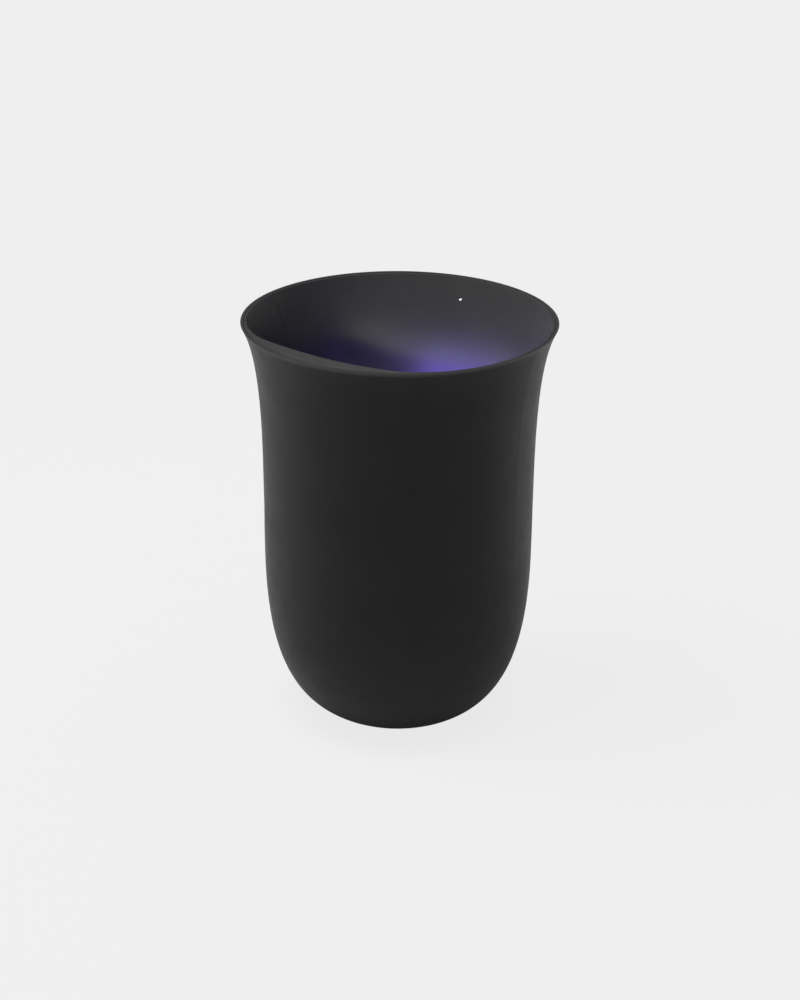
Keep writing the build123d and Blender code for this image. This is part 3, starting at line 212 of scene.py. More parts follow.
def paper_material():
    material, tree, shader = new_material("floor_paper")
    shader.inputs["Roughness"].default_value = PAPER_ROUGHNESS
    shader.inputs["Specular IOR Level"].default_value = 0.0
    distance = vector_math(tree, "LENGTH", object_place(tree))
    open_paper = span(tree, distance, SHADE_FROM, SHADE_TO, smooth=True)
    link(tree, mix_colours(tree, open_paper, SHADE, PAPER), shader.inputs["Base Color"])
    glow = tree.nodes.new("ShaderNodeEmission")
    glow.inputs["Color"].default_value = (*PAPER, 1)
    share = span(tree, distance, GLOW_NEAR, GLOW_FAR, PAPER_GLOW, 1.0, smooth=True)
    top = mix_shaders(tree, glow_share(tree, share), shader.outputs["BSDF"], glow.outputs[0])
    back = tree.nodes.new("ShaderNodeNewGeometry").outputs["Backfacing"]
    clear_below = tree.nodes.new("ShaderNodeBsdfTransparent").outputs["BSDF"]
    both = mix_shaders(tree, back, top, clear_below)
    link(tree, both, tree.nodes["Material Output"].inputs["Surface"])
    return material


print("glow near the cup:", PAPER_GLOW, "and for a mirror:", MIRROR_GLOW)


# %% Lay the floor
def make_floor():
    ways = ((-1, -1), (1, -1), (1, 1), (-1, 1))
    corners = [(x * PAPER_REACH, y * PAPER_REACH, 0) for x, y in ways]
    mesh = bpy.data.meshes.new("floor")
    mesh.from_pydata(corners, [], [(0, 1, 2, 3)])
    mesh.materials.append(paper_material())
    add_object("floor", mesh)


make_floor()
print("paper reaches", PAPER_REACH, "m each way")

# %% [markdown]
# ## Light
# A dark, matte, round body shows its form only by what it reflects, so the light comes from all
# round, a broad key comes from the left, and two tall panels stand at the sides, a little behind
# the cup. They draw the soft lines down its edges. The key reaches into the funnel from the left,
# so the near wall of the pocket stays dark and the far wall is lighter. All of it together adds up
# to a level at which a colour looks as it is written. Two weak violet lamps stand for the light of
# the emitters: one shines out of the window, and one is the haze that the pocket's walls scatter.
# Neither shows in a reflection, because the real light comes from no single patch.

# %% Light from all round
WORLD_LEVEL = 0.53


def light_world():
    """Even light for the cup, and the paper's colour for whoever looks past the floor's edge."""
    world = bpy.data.worlds.new("even_light")
    bpy.context.scene.world = world
    world.use_nodes = True
    sky = world.node_tree
    air = sky.nodes["Background"]
    air.inputs["Color"].default_value = (1, 1, 1, 1)
    air.inputs["Strength"].default_value = WORLD_LEVEL
    backdrop = sky.nodes.new("ShaderNodeBackground")
    backdrop.inputs["Color"].default_value = (*PAPER, 1)
    either = mix_shaders(sky, glow_share(sky), air.outputs[0], backdrop.outputs[0])
    link(sky, either, sky.nodes["World Output"].inputs["Surface"])


light_world()
print("even light:", WORLD_LEVEL)

# %% Lamps
KEY_LEVEL = 1.70
KEY_SPREAD = radians(50)
KEY_TURN = (radians(44), 0, radians(-46))
PANEL_POWER = 5.0
# side, back, height and the height it aims at; width and height; share of the panels' power
PANELS = {
    "left_panel": ((-0.9, 0.15, 0.45, 0.09), (0.6, 0.9), 1.0),
    "right_panel": ((0.9, 0.35, 0.14, 0.10), (0.5, 0.26), 0.35),
}
VIOLET = (0.26, 0.17, 1.0)
# place, point that it aims at, width and height, power
EMITTER_LIGHT = {
    "window_glow": ((0, -0.0385, 0.112), (0.040, 0.060, 0.175), (0.024, 0.055), 0.16),
    "pocket_haze": ((0.016, 0.004, 0.155), (0.020, 0.048, 0.168), (0.03, 0.03), 0.10),
}


def soft_lamp(name, place, target, size, power, colour=(1, 1, 1)):
    data = bpy.data.lights.new(name, "AREA")
    data.shape = "RECTANGLE"
    data.size, data.size_y = size
    data.energy = power
    data.color = colour
    lamp = add_object(name, data)
    lamp.location = place
    lamp.rotation_euler = (Vector(target) - Vector(place)).to_track_quat("-Z", "Y").to_euler()
    lamp.visible_camera = False
    return lamp


key_data = bpy.data.lights.new("soft_key", "SUN")
key_data.energy = KEY_LEVEL
key_data.angle = KEY_SPREAD
add_object("soft_key", key_data).rotation_euler = KEY_TURN
side_way = Vector((cos(VIEW_AZIMUTH), sin(VIEW_AZIMUTH), 0))
back_way = Vector((-sin(VIEW_AZIMUTH), cos(VIEW_AZIMUTH), 0))
for name, ((side, back, height, aim), size, share) in PANELS.items():
    place = side_way * side + back_way * back + Vector((0, 0, height))
    soft_lamp(name, place, (0, 0, aim), size, PANEL_POWER * share)
for name, row in EMITTER_LIGHT.items():
    soft_lamp(name, *row, VIOLET).visible_glossy = False
bpy.context.scene.view_settings.view_transform = "Standard"

# %% [markdown]
# ## Finishes
# Every finish is worked out from the piece's own Object coordinates, so a pattern has the same
# size everywhere and stays where it is when a part moves. One helper makes a moulded surface: a
# broad noise changes the colour and the gloss a little, as handling does, and a fine noise gives
# the grain of the mould as bump. An edge that the mould leaves round gets its softness from
# bevelled normals.

# %% Noise and bump
NOISE_MIDDLE = (0.3, 0.7)  # nearly all of a noise's values lie between these


def noise(tree, scale, detail=3.0, roughness=0.5, stretch=None):
    """A noise in Object coordinates. Stretch scales the pattern along x, y and z."""
    where = object_place(tree)
    if stretch:
        mapping = tree.nodes.new("ShaderNodeMapping")
        mapping.inputs["Scale"].default_value = stretch
        link(tree, where, mapping.inputs["Vector"])
        where = mapping.outputs["Vector"]
    texture = tree.nodes.new("ShaderNodeTexNoise")
    for socket, number in {"Scale": scale, "Detail": detail, "Roughness": roughness}.items():
        texture.inputs[socket].default_value = number
    link(tree, where, texture.inputs["Vector"])
    return texture.outputs["Fac"]


def spread(tree, pattern, start=0.0, end=1.0):
    """Stretches the middle of a noise's range over start..end."""
    return span(tree, pattern, *NOISE_MIDDLE, start, end)


def add_bump(tree, shader, height, depth, strength=1.0):
    bump = tree.nodes.new("ShaderNodeBump")
    bump.inputs["Distance"].default_value = depth
    bump.inputs["Strength"].default_value = strength
    link(tree, height, bump.inputs["Height"])
    previous = shader.inputs["Normal"].links
    if previous:
        link(tree, previous[0].from_socket, bump.inputs["Normal"])
    link(tree, bump.outputs["Normal"], shader.inputs["Normal"])


print("patterns keep to Object coordinates")


# %% A moulded surface
HANDLED_FINER = 1.7  # how much finer the patches of gloss are than those of colour
ROUNDING_SAMPLES = 8


def moulded(name, dark, light, gloss, grain, depth, broad=45.0, specular=0.5, edge=0.0):
    """Gloss is the range of the roughness, grain the mould's texture, edge a rounding's radius."""
    material, tree, shader = new_material(name)
    if edge:
        rounding = tree.nodes.new("ShaderNodeBevel")
        rounding.samples = ROUNDING_SAMPLES
        rounding.inputs["Radius"].default_value = edge
        link(tree, rounding.outputs["Normal"], shader.inputs["Normal"])
    shader.inputs["Specular IOR Level"].default_value = specular
    patches = spread(tree, noise(tree, broad, 4.0, 0.6))
    link(tree, mix_colours(tree, patches, dark, light), shader.inputs["Base Color"])
    handled = noise(tree, broad * HANDLED_FINER, 5.0, 0.65)
    link(tree, spread(tree, handled, *gloss), shader.inputs["Roughness"])
    add_bump(tree, shader, noise(tree, grain, 2.0), depth)
    return material


print("moulded surfaces are ready")

# %% [markdown]
# The shell is hard plastic with a soft-touch coat: nearly black, almost without gloss, with a grain
# finer than a tenth of a millimetre. A narrow band at the top of the shell is painted paler, as a
# painted highlight along the lip. The liner is bare satin plastic, which is a little paler too. The
# foot and the pad are silicone, the cover and the parts inside are plainer plastics.

# %% Shell, liner, foot and cover
LIP_FROM, LIP_FULL = 0.1786, 0.1793  # heights over which the painted highlight on the lip fades in
# colour of the painted highlight along the lip
LIP_HIGHLIGHT_COLOUR = (0.024, 0.024, 0.025)


def paint_lip_highlight(material):
    """Paints a highlight: lightens a narrow band at the top of the shell, along the lip."""
    tree = material.node_tree
    shader = tree.nodes["Principled BSDF"]
    apart = tree.nodes.new("ShaderNodeSeparateXYZ")
    link(tree, object_place(tree), apart.inputs[0])
    body = shader.inputs["Base Color"].links[0].from_socket
    high = span(tree, apart.outputs["Z"], LIP_FROM, LIP_FULL)
    link(tree, mix_colours(tree, high, body, LIP_HIGHLIGHT_COLOUR), shader.inputs["Base Color"])


shell_black = moulded("shell_black", (0.0045, 0.0045, 0.0047), (0.0060, 0.0060, 0.0062),
                      gloss=(0.48, 0.56), grain=5200, depth=2e-5, specular=0.17)
# paints a highlight along the shell's lip
paint_lip_highlight(shell_black)
liner_black = moulded("liner_black", (0.0170, 0.0170, 0.0177), (0.0208, 0.0208, 0.0216),
                      gloss=(0.44, 0.54), grain=4200, depth=3e-5, specular=0.22, edge=0.0009)
foot_silicone = moulded("foot_silicone", (0.005, 0.005, 0.005), (0.009, 0.009, 0.009),
                        gloss=(0.72, 0.85), grain=2600, depth=4e-5, specular=0.2)
cover_plastic = moulded("cover_plastic", (0.020, 0.020, 0.021), (0.028, 0.028, 0.029),
                        gloss=(0.55, 0.68), grain=1900, depth=5e-5)
inner_plastic = moulded("inner_plastic", (0.045, 0.045, 0.048), (0.062, 0.062, 0.066),
                        gloss=(0.50, 0.66), grain=1500, depth=3e-5)
socket_nylon = moulded("socket_nylon", (0.70, 0.68, 0.62), (0.80, 0.78, 0.72),
                       gloss=(0.40, 0.52), grain=2400, depth=2e-5)
chip_epoxy = moulded("chip_epoxy", (0.016, 0.016, 0.018), (0.026, 0.026, 0.028),
                     gloss=(0.42, 0.55), grain=3800, depth=3e-5)
ferrite_sintered = moulded("ferrite_sintered", (0.055, 0.055, 0.060), (0.120, 0.120, 0.128),
                           gloss=(0.62, 0.80), grain=2800, depth=4e-5, broad=900)
gasket_foam = moulded("gasket_foam", (0.018, 0.018, 0.018), (0.030, 0.030, 0.030),
                      gloss=(0.85, 0.95), grain=2200, depth=12e-5, broad=600)
lead_jacket = moulded("lead_jacket", (0.030, 0.030, 0.033), (0.050, 0.050, 0.055),
                      gloss=(0.45, 0.58), grain=1800, depth=2e-5)
print("plastics:", shell_black.name, liner_black.name, foot_silicone.name, cover_plastic.name)

# %% [markdown]
# Metals get their look from the tool that made them. A rolled, plated or drawn surface has fine
# lines one way, which is a noise stretched along one axis. A cast or cut one has grain both ways.

# %% Metals
LINES_MIDDLE = (0.25, 0.75)
HANDLED_BROADER = 0.8


def metal(name, dark, light, gloss, scale, stretch=(1, 1, 1), depth=1e-5):
    material, tree, shader = new_material(name)
    shader.inputs["Metallic"].default_value = 1.0
    lines = noise(tree, scale, 3.0, 0.6, stretch)
    tone = span(tree, lines, *LINES_MIDDLE)
    link(tree, mix_colours(tree, tone, dark, light), shader.inputs["Base Color"])
    handled = noise(tree, scale * HANDLED_BROADER, 4.0, 0.6)
    link(tree, spread(tree, handled, *gloss), shader.inputs["Roughness"])
    add_bump(tree, shader, lines, depth)
    return material


screw_zinc = metal("screw_zinc", (0.42, 0.43, 0.45), (0.62, 0.63, 0.66),
                   gloss=(0.24, 0.38), scale=900)
ballast_steel = metal("ballast_steel", (0.36, 0.36, 0.37), (0.50, 0.50, 0.51),
                      gloss=(0.30, 0.48), scale=120, stretch=(1, 14, 1), depth=3e-5)
spring_steel = metal("spring_steel", (0.48, 0.48, 0.50), (0.66, 0.66, 0.68),
                     gloss=(0.20, 0.32), scale=1400, stretch=(1, 1, 5))
can_aluminium = metal("can_aluminium", (0.60, 0.61, 0.63), (0.78, 0.79, 0.81),
                      gloss=(0.22, 0.36), scale=420, stretch=(1, 1, 12))
contact_gold = metal("contact_gold", (0.72, 0.50, 0.17), (0.86, 0.64, 0.28),
                     gloss=(0.18, 0.28), scale=2200, depth=4e-6)
solder_tin = metal("solder_tin", (0.60, 0.60, 0.61), (0.76, 0.76, 0.77),
                   gloss=(0.28, 0.42), scale=2600)
coil_copper = metal("coil_copper", (0.50, 0.20, 0.08), (0.72, 0.34, 0.16),
                    gloss=(0.20, 0.34), scale=1600)
print("metals:", screw_zinc.name, ballast_steel.name, spring_steel.name, coil_copper.name)

# %% [markdown]
# A printed board is glass laminate under a coat of solder mask. Copper tracks lie under the coat
# as slightly raised, paler lines. A brick pattern of long, low bricks gives runs of parallel tracks
# by its joints, and a fine cell pattern gives the plated holes that join the layers.

# %% Boards
TRACK_RUN = {
    "Mortar Size": 0.09, "Mortar Smooth": 0.2, "Brick Width": 1.7, "Row Height": 0.34,
}
HOLE_RING = (0.10, 0.16)  # distances from a cell's middle
TRACK_HEIGHT = 3e-5
MASK_COAT = {"Coat Weight": 0.5, "Coat Roughness": 0.15}


def printed_board(name, mask, track, gloss, track_scale, hole_scale):
    material, tree, shader = new_material(name)
    where = object_place(tree)
    runs = tree.nodes.new("ShaderNodeTexBrick")
    for socket, number in {"Scale": track_scale, **TRACK_RUN}.items():
        runs.inputs[socket].default_value = number
    link(tree, where, runs.inputs["Vector"])
    holes = tree.nodes.new("ShaderNodeTexVoronoi")
    for socket, number in {"Scale": hole_scale, "Randomness": 0.8}.items():
        holes.inputs[socket].default_value = number
    link(tree, where, holes.inputs["Vector"])
    ring = span(tree, holes.outputs["Distance"], *HOLE_RING, 1.0, 0.0)
    laid = math_node(tree, "MAXIMUM", runs.outputs["Fac"], ring)
    link(tree, mix_colours(tree, laid, mask, track), shader.inputs["Base Color"])
    link(tree, spread(tree, noise(tree, 160), *gloss), shader.inputs["Roughness"])
    add_bump(tree, shader, laid, TRACK_HEIGHT, 0.6)
    for socket, number in MASK_COAT.items():
        shader.inputs[socket].default_value = number
    return material


board_green = printed_board("board_green", (0.010, 0.085, 0.035), (0.030, 0.170, 0.070),
                            (0.28, 0.40), track_scale=430.0, hole_scale=520.0)
lamp_board_white = printed_board("lamp_board_white", (0.74, 0.75, 0.76), (0.80, 0.80, 0.80),
                                 (0.30, 0.42), track_scale=90.0, hole_scale=160.0)
print("boards:", board_green.name, lamp_board_white.name)

# %% [markdown]
# ## Clear and lit parts
# The pane in front of the emitters is quartz, which lets the short waves through. The light pipe is
# clear acrylic that carries the white of the small lamp up to a dot on the rim. Its end glows, so
# it gets a little light of its own, which fades from its axis to its side, where light leaks into
# the liner. The emitters glow violet, the only part of their light that an eye can see. Ceramic
# parts have no glow, but belong to the same boards.

# %% Clear and lit parts
QUARTZ_INDEX = 1.46
QUARTZ_ROUGHNESS = 0.03
WIPED_PATCHES, PANE_WAVES, GLOW_GRAIN = 300, 80, 1500  # scales of their noises
PIPE_AXIS = (0, 0.048, 0)
PIPE_CORE, PIPE_SIDE = 0.00032, 0.00062  # distances from the axis over which the glow fades
PIPE_DIM = 0.05  # share of the glow that is left at the side


def clear(name, tint):
    material, tree, shader = new_material(name)
    shader.inputs["Base Color"].default_value = (*tint, 1)
    shader.inputs["Transmission Weight"].default_value = 1.0
    shader.inputs["IOR"].default_value = QUARTZ_INDEX
    wiped = noise(tree, WIPED_PATCHES, 2.0)
    handled = spread(tree, wiped, QUARTZ_ROUGHNESS * 0.6, QUARTZ_ROUGHNESS)
    link(tree, handled, shader.inputs["Roughness"])
    add_bump(tree, shader, noise(tree, PANE_WAVES, 2.0), 1e-5)
    return material


def lit(name, base, glow, strength):
    material, tree, shader = new_material(name)
    shader.inputs["Base Color"].default_value = (*base, 1)
    shader.inputs["Emission Color"].default_value = (*glow, 1)
    shine = spread(tree, noise(tree, GLOW_GRAIN, 2.0), strength * 0.85, strength)
    link(tree, shine, shader.inputs["Emission Strength"])
    link(tree, spread(tree, noise(tree, GLOW_GRAIN), 0.25, 0.4), shader.inputs["Roughness"])
    return material


def bright_core(material):
    """Fades the glow and the colour from the light pipe's axis out to its side."""
    tree = material.node_tree
    shader = tree.nodes["Principled BSDF"]
    from_axis = vector_math(tree, "SUBTRACT", object_place(tree), PIPE_AXIS)
    level = vector_math(tree, "MULTIPLY", from_axis, (1, 1, 0))
    distance = vector_math(tree, "LENGTH", level)
    fade = span(tree, distance, PIPE_CORE, PIPE_SIDE, 1.0, PIPE_DIM)
    grain = shader.inputs["Emission Strength"].links[0].from_socket
    link(tree, math_node(tree, "MULTIPLY", grain, fade), shader.inputs["Emission Strength"])
    base = tuple(shader.inputs["Base Color"].default_value[:3])
    dim = tuple(PIPE_DIM * part for part in base)
    toned = span(tree, distance, PIPE_CORE, PIPE_SIDE)
    link(tree, mix_colours(tree, toned, base, dim), shader.inputs["Base Color"])


window_quartz = clear("window_quartz", (0.96, 0.97, 1.0))
led_white = lit("led_white", (0.9, 0.9, 0.8), (1.0, 1.0, 0.95), 2.0)
pipe_clear = lit("pipe_clear", (0.9, 0.92, 0.95), (0.95, 0.97, 1.0), 1.0)
bright_core(pipe_clear)
emitter_glow = lit("emitter_glow", (0.5, 0.5, 0.7), (0.20, 0.10, 1.0), 1.3)
chip_ceramic = moulded("chip_ceramic", (0.20, 0.13, 0.085), (0.28, 0.19, 0.125),
                       gloss=(0.38, 0.52), grain=3400, depth=1e-5, broad=800)
emitter_ceramic = moulded("emitter_ceramic", (0.70, 0.69, 0.66), (0.80, 0.79, 0.77),
                          gloss=(0.40, 0.55), grain=3000, depth=1e-5)
print("lit parts:", led_white.name, pipe_clear.name, emitter_glow.name)

# %% [markdown]
# ## Finishes on the CAD parts
# A CAD part whose shape is right stays as it is and only gets its material. The table goes by
# finish, because one drum of plastic or one plating bath serves many parts. Screws, springs, coil
# and emitters are in it too, and are replaced further on.

# %% Finishes on the CAD parts
FINISHES = (
    (shell_black, "outer_shell"),
    (liner_black, "liner_rear liner_front port_bezel"),
    (foot_silicone, "foot_ring rest_pad"),
    (cover_plastic, "base_cover phone_rest"),
    (inner_plastic, "chassis coil_carrier"),
    (ballast_steel, "ballast"),
    (spring_steel, "rest_spring_left rest_spring_right rest_clips usb_shell"),
    (screw_zinc, "cover_screws chassis_screws liner_screws seam_screws"),
    (screw_zinc, "board_screws coil_screws lamp_screws status_screws"),
    (board_green, "main_board status_board"),
    (lamp_board_white, "lamp_board"),
    (chip_epoxy, "charger_chip control_chip rest_switch usb_tongue coil_sensor"),
    (ferrite_sintered, "inductors ferrite_disc"),
    (can_aluminium, "capacitors lamp_reflector heat_sink"),
    (socket_nylon, "coil_socket status_socket lamp_socket switch_plunger"),
    (contact_gold, "usb_contacts"),
    (coil_copper, "charging_coil"),
    (window_quartz, "lamp_window"),
    (gasket_foam, "window_gasket"),
    (emitter_glow, "lamp_emitters"),
    (pipe_clear, "light_pipe"),
    (led_white, "status_led"),
    (lead_jacket, "coil_lead status_lead lamp_lead"),
)
finish_of = {name: finish for finish, names in FINISHES for name in names.split()}
for name, node in nodes.items():
    for place in node.material_slots:
        place.material = finish_of[name]
print("finished nodes:", len(finish_of), "left out:", sorted(set(nodes) - set(finish_of)))

# %% [markdown]
# ## Small pieces that repeat
# Screws, springs, coil turns, chip pins and emitters are the same shape again and again, so each is
# drawn once by a Geometry Nodes tree and placed on points. A point carries its place and the way
# that the piece faces, which is kept in an attribute called axis. A tree has named inputs for its
# sizes, so one tree serves every screw.

# %% Start a tree and add nodes
def new_tree(name, sizes):
    """A tree that takes a mesh of points, a material and named sizes, and gives geometry."""
    tree = bpy.data.node_groups.new(name, "GeometryNodeTree")
    tree.interface.new_socket("Geometry", in_out="OUTPUT", socket_type="NodeSocketGeometry")
    tree.interface.new_socket("Points", in_out="INPUT", socket_type="NodeSocketGeometry")
    tree.interface.new_socket("Finish", in_out="INPUT", socket_type="NodeSocketMaterial")
    for label, value in sizes.items():
        kind = "NodeSocketInt" if isinstance(value, int) else "NodeSocketFloat"
        tree.interface.new_socket(label, in_out="INPUT", socket_type=kind).default_value = value
    return tree, tree.nodes.new("NodeGroupInput").outputs


def put(tree, kind, inputs=None, **settings):
    """Adds a node. An input is a number, or the socket of another node."""
    node = tree.nodes.new(kind)
    for name, value in settings.items():
        setattr(node, name, value)
    for place, value in (inputs or {}).items():
        if isinstance(value, bpy.types.NodeSocket):
            tree.links.new(value, node.inputs[place])
        else:
            node.inputs[place].default_value = value
    return node


print("a tree starts from points, a material and its sizes")


# %% Sums, moves and sweeps
def calc(tree, operation, *values):
    inputs = dict(enumerate(values))
    return put(tree, "ShaderNodeMath", inputs, operation=operation).outputs[0]


def times(tree, first, second):
    return calc(tree, "MULTIPLY", first, second)


def vector(tree, x=0.0, y=0.0, z=0.0):
    return put(tree, "ShaderNodeCombineXYZ", {0: x, 1: y, 2: z}).outputs[0]


def position(tree):
    """The point's place as x, y and z."""
    place = tree.nodes.new("GeometryNodeInputPosition").outputs[0]
    return put(tree, "ShaderNodeSeparateXYZ", {0: place}).outputs


def shifted(tree, geometry, **where):
    inputs = {"Geometry": geometry, "Translation": vector(tree, **where)}
    return put(tree, "GeometryNodeTransform", inputs).outputs[0]


def swept(tree, curve, profile):
    inputs = {"Curve": curve, "Profile Curve": profile, "Fill Caps": True}
    return put(tree, "GeometryNodeCurveToMesh", inputs).outputs[0]


def round_profile(tree, steps, radius):
    inputs = {"Resolution": steps, "Radius": radius}
    return put(tree, "GeometryNodeCurvePrimitiveCircle", inputs).outputs[0]


def joined(tree, *parts):
    join = tree.nodes.new("GeometryNodeJoinGeometry")
    for part in parts:
        tree.links.new(part, join.inputs[0])
    return join.outputs[0]


print("sums, moves and sweeps have their helpers")

# %% [markdown]
# Every tree ends the same way. The piece is set on the points, the copies are made real, smooth
# shading stops at edges that a tool would leave sharp, and the material goes on. Copies have to be
# real, because a file for another program drops instances.

# %% The end of every tree
CREASE = radians(35)


def finish_tree(tree, given, piece):
    """Puts the piece on every point, turned to the point's axis, and makes the copies real."""
    name = {"Name": "axis"}
    axis = put(tree, "GeometryNodeInputNamedAttribute", name, data_type="FLOAT_VECTOR").outputs[0]
    turn = put(tree, "FunctionNodeAlignRotationToVector", {"Vector": axis}, axis="Z").outputs[0]
    inputs = {"Points": given["Points"], "Instance": piece, "Rotation": turn}
    copies = put(tree, "GeometryNodeInstanceOnPoints", inputs).outputs[0]
    real = put(tree, "GeometryNodeRealizeInstances", {"Geometry": copies}).outputs[0]
    smooth = put(tree, "GeometryNodeSetShadeSmooth", {"Geometry": real}, domain="FACE").outputs[0]
    bend = tree.nodes.new("GeometryNodeInputMeshEdgeAngle").outputs["Unsigned Angle"]
    sides = {"A": bend, "B": CREASE}
    sharp = put(tree, "FunctionNodeCompare", sides, operation="GREATER_THAN").outputs[0]
    inputs = {"Geometry": smooth, "Selection": sharp, "Shade Smooth": False}
    creased = put(tree, "GeometryNodeSetShadeSmooth", inputs, domain="EDGE").outputs[0]
    inputs = {"Geometry": creased, "Material": given["Finish"]}
    done = put(tree, "GeometryNodeSetMaterial", inputs).outputs[0]
    tree.links.new(done, tree.nodes.new("NodeGroupOutput").inputs[0])
    return tree


print("copies are creased at", round(CREASE, 2), "radians")

# %% [markdown]
# A tree does nothing until a modifier runs it on a mesh of points. The sizes are set on the
# modifier before it is first worked out, the result is kept as a plain mesh at the origin, and the
# points and the modifier go. The finished piece then rides on the cup.

# %% Grow a piece and settle it
def set_sizes(modifier, finish, sizes):
    values = {**sizes, "Finish": finish}
    for socket in modifier.node_group.interface.items_tree:
        if socket.in_out == "INPUT" and socket.name in values:
            modifier[socket.identifier] = values[socket.name]


def grow(name, tree, places, finish, sizes):
    """Runs a tree on points, each a place and an axis, and keeps the result as a plain mesh."""
    base = bpy.data.meshes.new(name + "_points")
    base.from_pydata([tuple(place) for place, axis in places], [], [])
    axes = base.attributes.new("axis", "FLOAT_VECTOR", "POINT")
    for entry, (place, axis) in zip(axes.data, places):
        entry.vector = axis
    source = add_object(name + "_points", base)
    modifier = source.modifiers.new("grow", "NODES")
    modifier.node_group = tree
    set_sizes(modifier, finish, sizes)
    ready = source.evaluated_get(bpy.context.evaluated_depsgraph_get())
    mesh = bpy.data.meshes.new_from_object(ready)
    mesh.name = name
    bpy.data.objects.remove(source)
    bpy.data.meshes.remove(base)
    piece = add_object(name, mesh)
    mesh.calc_loop_triangles()
    print(name, "copies:", len(places), "triangles:", len(mesh.loop_triangles))
    return piece


def settle(piece, slot, *stands_for):
    """The piece belongs to the cup's body, and may stand for CAD nodes."""
    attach(piece, "cup")
    if stands_for:
        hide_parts(*stands_for)


# %% [markdown]
# ## Screws
# A pan-head screw for plastic is a cold-formed wire: a domed head with a cross recess that narrows
# as it goes in, and a coarse thread rolled on the shaft. The thread is a small profile swept along
# a helix, and it starts and ends a little inside the shaft's length. The dome is a disc whose outer
# face is lowered towards the rim, and the recess is cut by a boolean with two tapered bars.

# %% The screw's shaft
SMALL = {"Shaft": 0.0010, "Length": 0.006, "Head": 0.0018, "Head height": 0.0012, "Pitch": 0.0008}
FINE = {"Shaft": 0.0007, "Length": 0.004, "Head": 0.00125, "Head height": 0.0008, "Pitch": 0.0006}
LONG = {"Shaft": 0.0013, "Length": 0.009, "Head": 0.0021, "Head height": 0.0015, "Pitch": 0.0010}
THREAD_DEPTH = 0.16  # share of the shaft's radius
THREAD_STEPS = 18  # to a turn
SHAFT_SIDES = 20


def shaft_and_thread(tree, given):
    core_radius = times(tree, given["Shaft"], 1 - THREAD_DEPTH)
    inputs = {"Vertices": SHAFT_SIDES, "Radius": core_radius, "Depth": given["Length"]}
    core = put(tree, "GeometryNodeMeshCylinder", inputs).outputs["Mesh"]
    core = shifted(tree, core, z=times(tree, given["Length"], 0.5))
    ridge = times(tree, given["Shaft"], THREAD_DEPTH)
    run = calc(tree, "SUBTRACT", given["Length"], times(tree, ridge, 2))
    turns = calc(tree, "DIVIDE", run, given["Pitch"])
    radii = {"Start Radius": core_radius, "End Radius": core_radius}
    inputs = {"Resolution": THREAD_STEPS, "Rotations": turns, "Height": run, **radii}
    helix = put(tree, "GeometryNodeCurveSpiral", inputs).outputs[0]
    helix = shifted(tree, helix, z=ridge)
    return core, swept(tree, helix, round_profile(tree, 4, ridge))


print("small screw:", SMALL)

# %% [markdown]
# The head's outer face is lowered by the fourth power of the distance from the middle, which keeps
# the middle flat for the driver and rounds the rim. The recess narrows with depth in the same way,
# by scaling each bar's points towards the axis.

# %% The screw's head
HEAD_SIDES, HEAD_RINGS = 36, 6
DOME_DROP = 0.5  # share of the head's height
CROSS_LONG, CROSS_NARROW = 1.12, 0.28  # shares of the head's radius
CROSS_LEVEL = -0.9  # the bars' middle, as a share of the head's height
CROSS_TAPER = 0.8


def domed_head(tree, given):
    head, height = given["Head"], given["Head height"]
    inputs = {"Vertices": HEAD_SIDES, "Fill Segments": HEAD_RINGS, "Radius": head, "Depth": height}
    disc = put(tree, "GeometryNodeMeshCylinder", inputs).outputs["Mesh"]
    disc = shifted(tree, disc, z=times(tree, height, -0.5))
    x, y, z = position(tree)
    squares = calc(tree, "ADD", calc(tree, "POWER", x, 2), calc(tree, "POWER", y, 2))
    out = calc(tree, "DIVIDE", calc(tree, "SQRT", squares), head)
    drop = times(tree, times(tree, calc(tree, "POWER", out, 4), height), DOME_DROP)
    outer = calc(tree, "LESS_THAN", z, times(tree, height, -0.5))
    inputs = {"Geometry": disc, "Selection": outer, "Offset": vector(tree, z=drop)}
    return put(tree, "GeometryNodeSetPosition", inputs).outputs[0]


def cross_bars(tree, given):
    head, height = given["Head"], given["Head height"]
    x, y, z = position(tree)
    way_in = calc(tree, "ADD", calc(tree, "DIVIDE", z, height), 1.0)
    pinch = calc(tree, "SUBTRACT", 1.0, times(tree, way_in, CROSS_TAPER))
    tapered = vector(tree, times(tree, x, pinch), times(tree, y, pinch), z)
    bars = []
    for wide, narrow in ((CROSS_LONG, CROSS_NARROW), (CROSS_NARROW, CROSS_LONG)):
        size = vector(tree, times(tree, head, wide), times(tree, head, narrow), height)
        bar = put(tree, "GeometryNodeMeshCube", {"Size": size}).outputs["Mesh"]
        bar = shifted(tree, bar, z=times(tree, height, CROSS_LEVEL))
        inputs = {"Geometry": bar, "Position": tapered}
        bars.append(put(tree, "GeometryNodeSetPosition", inputs).outputs[0])
    return bars


print("the cross is", CROSS_LONG, "of the head's radius long and", CROSS_NARROW, "wide")


# %% The whole screw
def screw_tree():
    tree, given = new_tree("pan_head_screw", SMALL)
    core, thread = shaft_and_thread(tree, given)
    dome = {"Mesh 1": domed_head(tree, given)}
    cut = put(tree, "GeometryNodeMeshBoolean", dome, operation="DIFFERENCE", solver="EXACT")
    for bar in cross_bars(tree, given):
        tree.links.new(bar, cut.inputs["Mesh 2"])
    return finish_tree(tree, given, joined(tree, cut.outputs["Mesh"], core, thread))


pan_head_screw = screw_tree()
print("screw tree nodes:", len(pan_head_screw.nodes))

# %% [markdown]
# The places and the ways that the screws face are measured on the CAD screws, so each new one
# stands in its hole. The CAD model holds every screw of a kind in one mesh of loose triangles. A
# copy is merged and split into its islands. Along the given axis the lowest point of an island is
# the top of its head, and across the axis the middle of its extent is its centre line.

# %% Measure the CAD screws
SAME_POINT = 1e-7


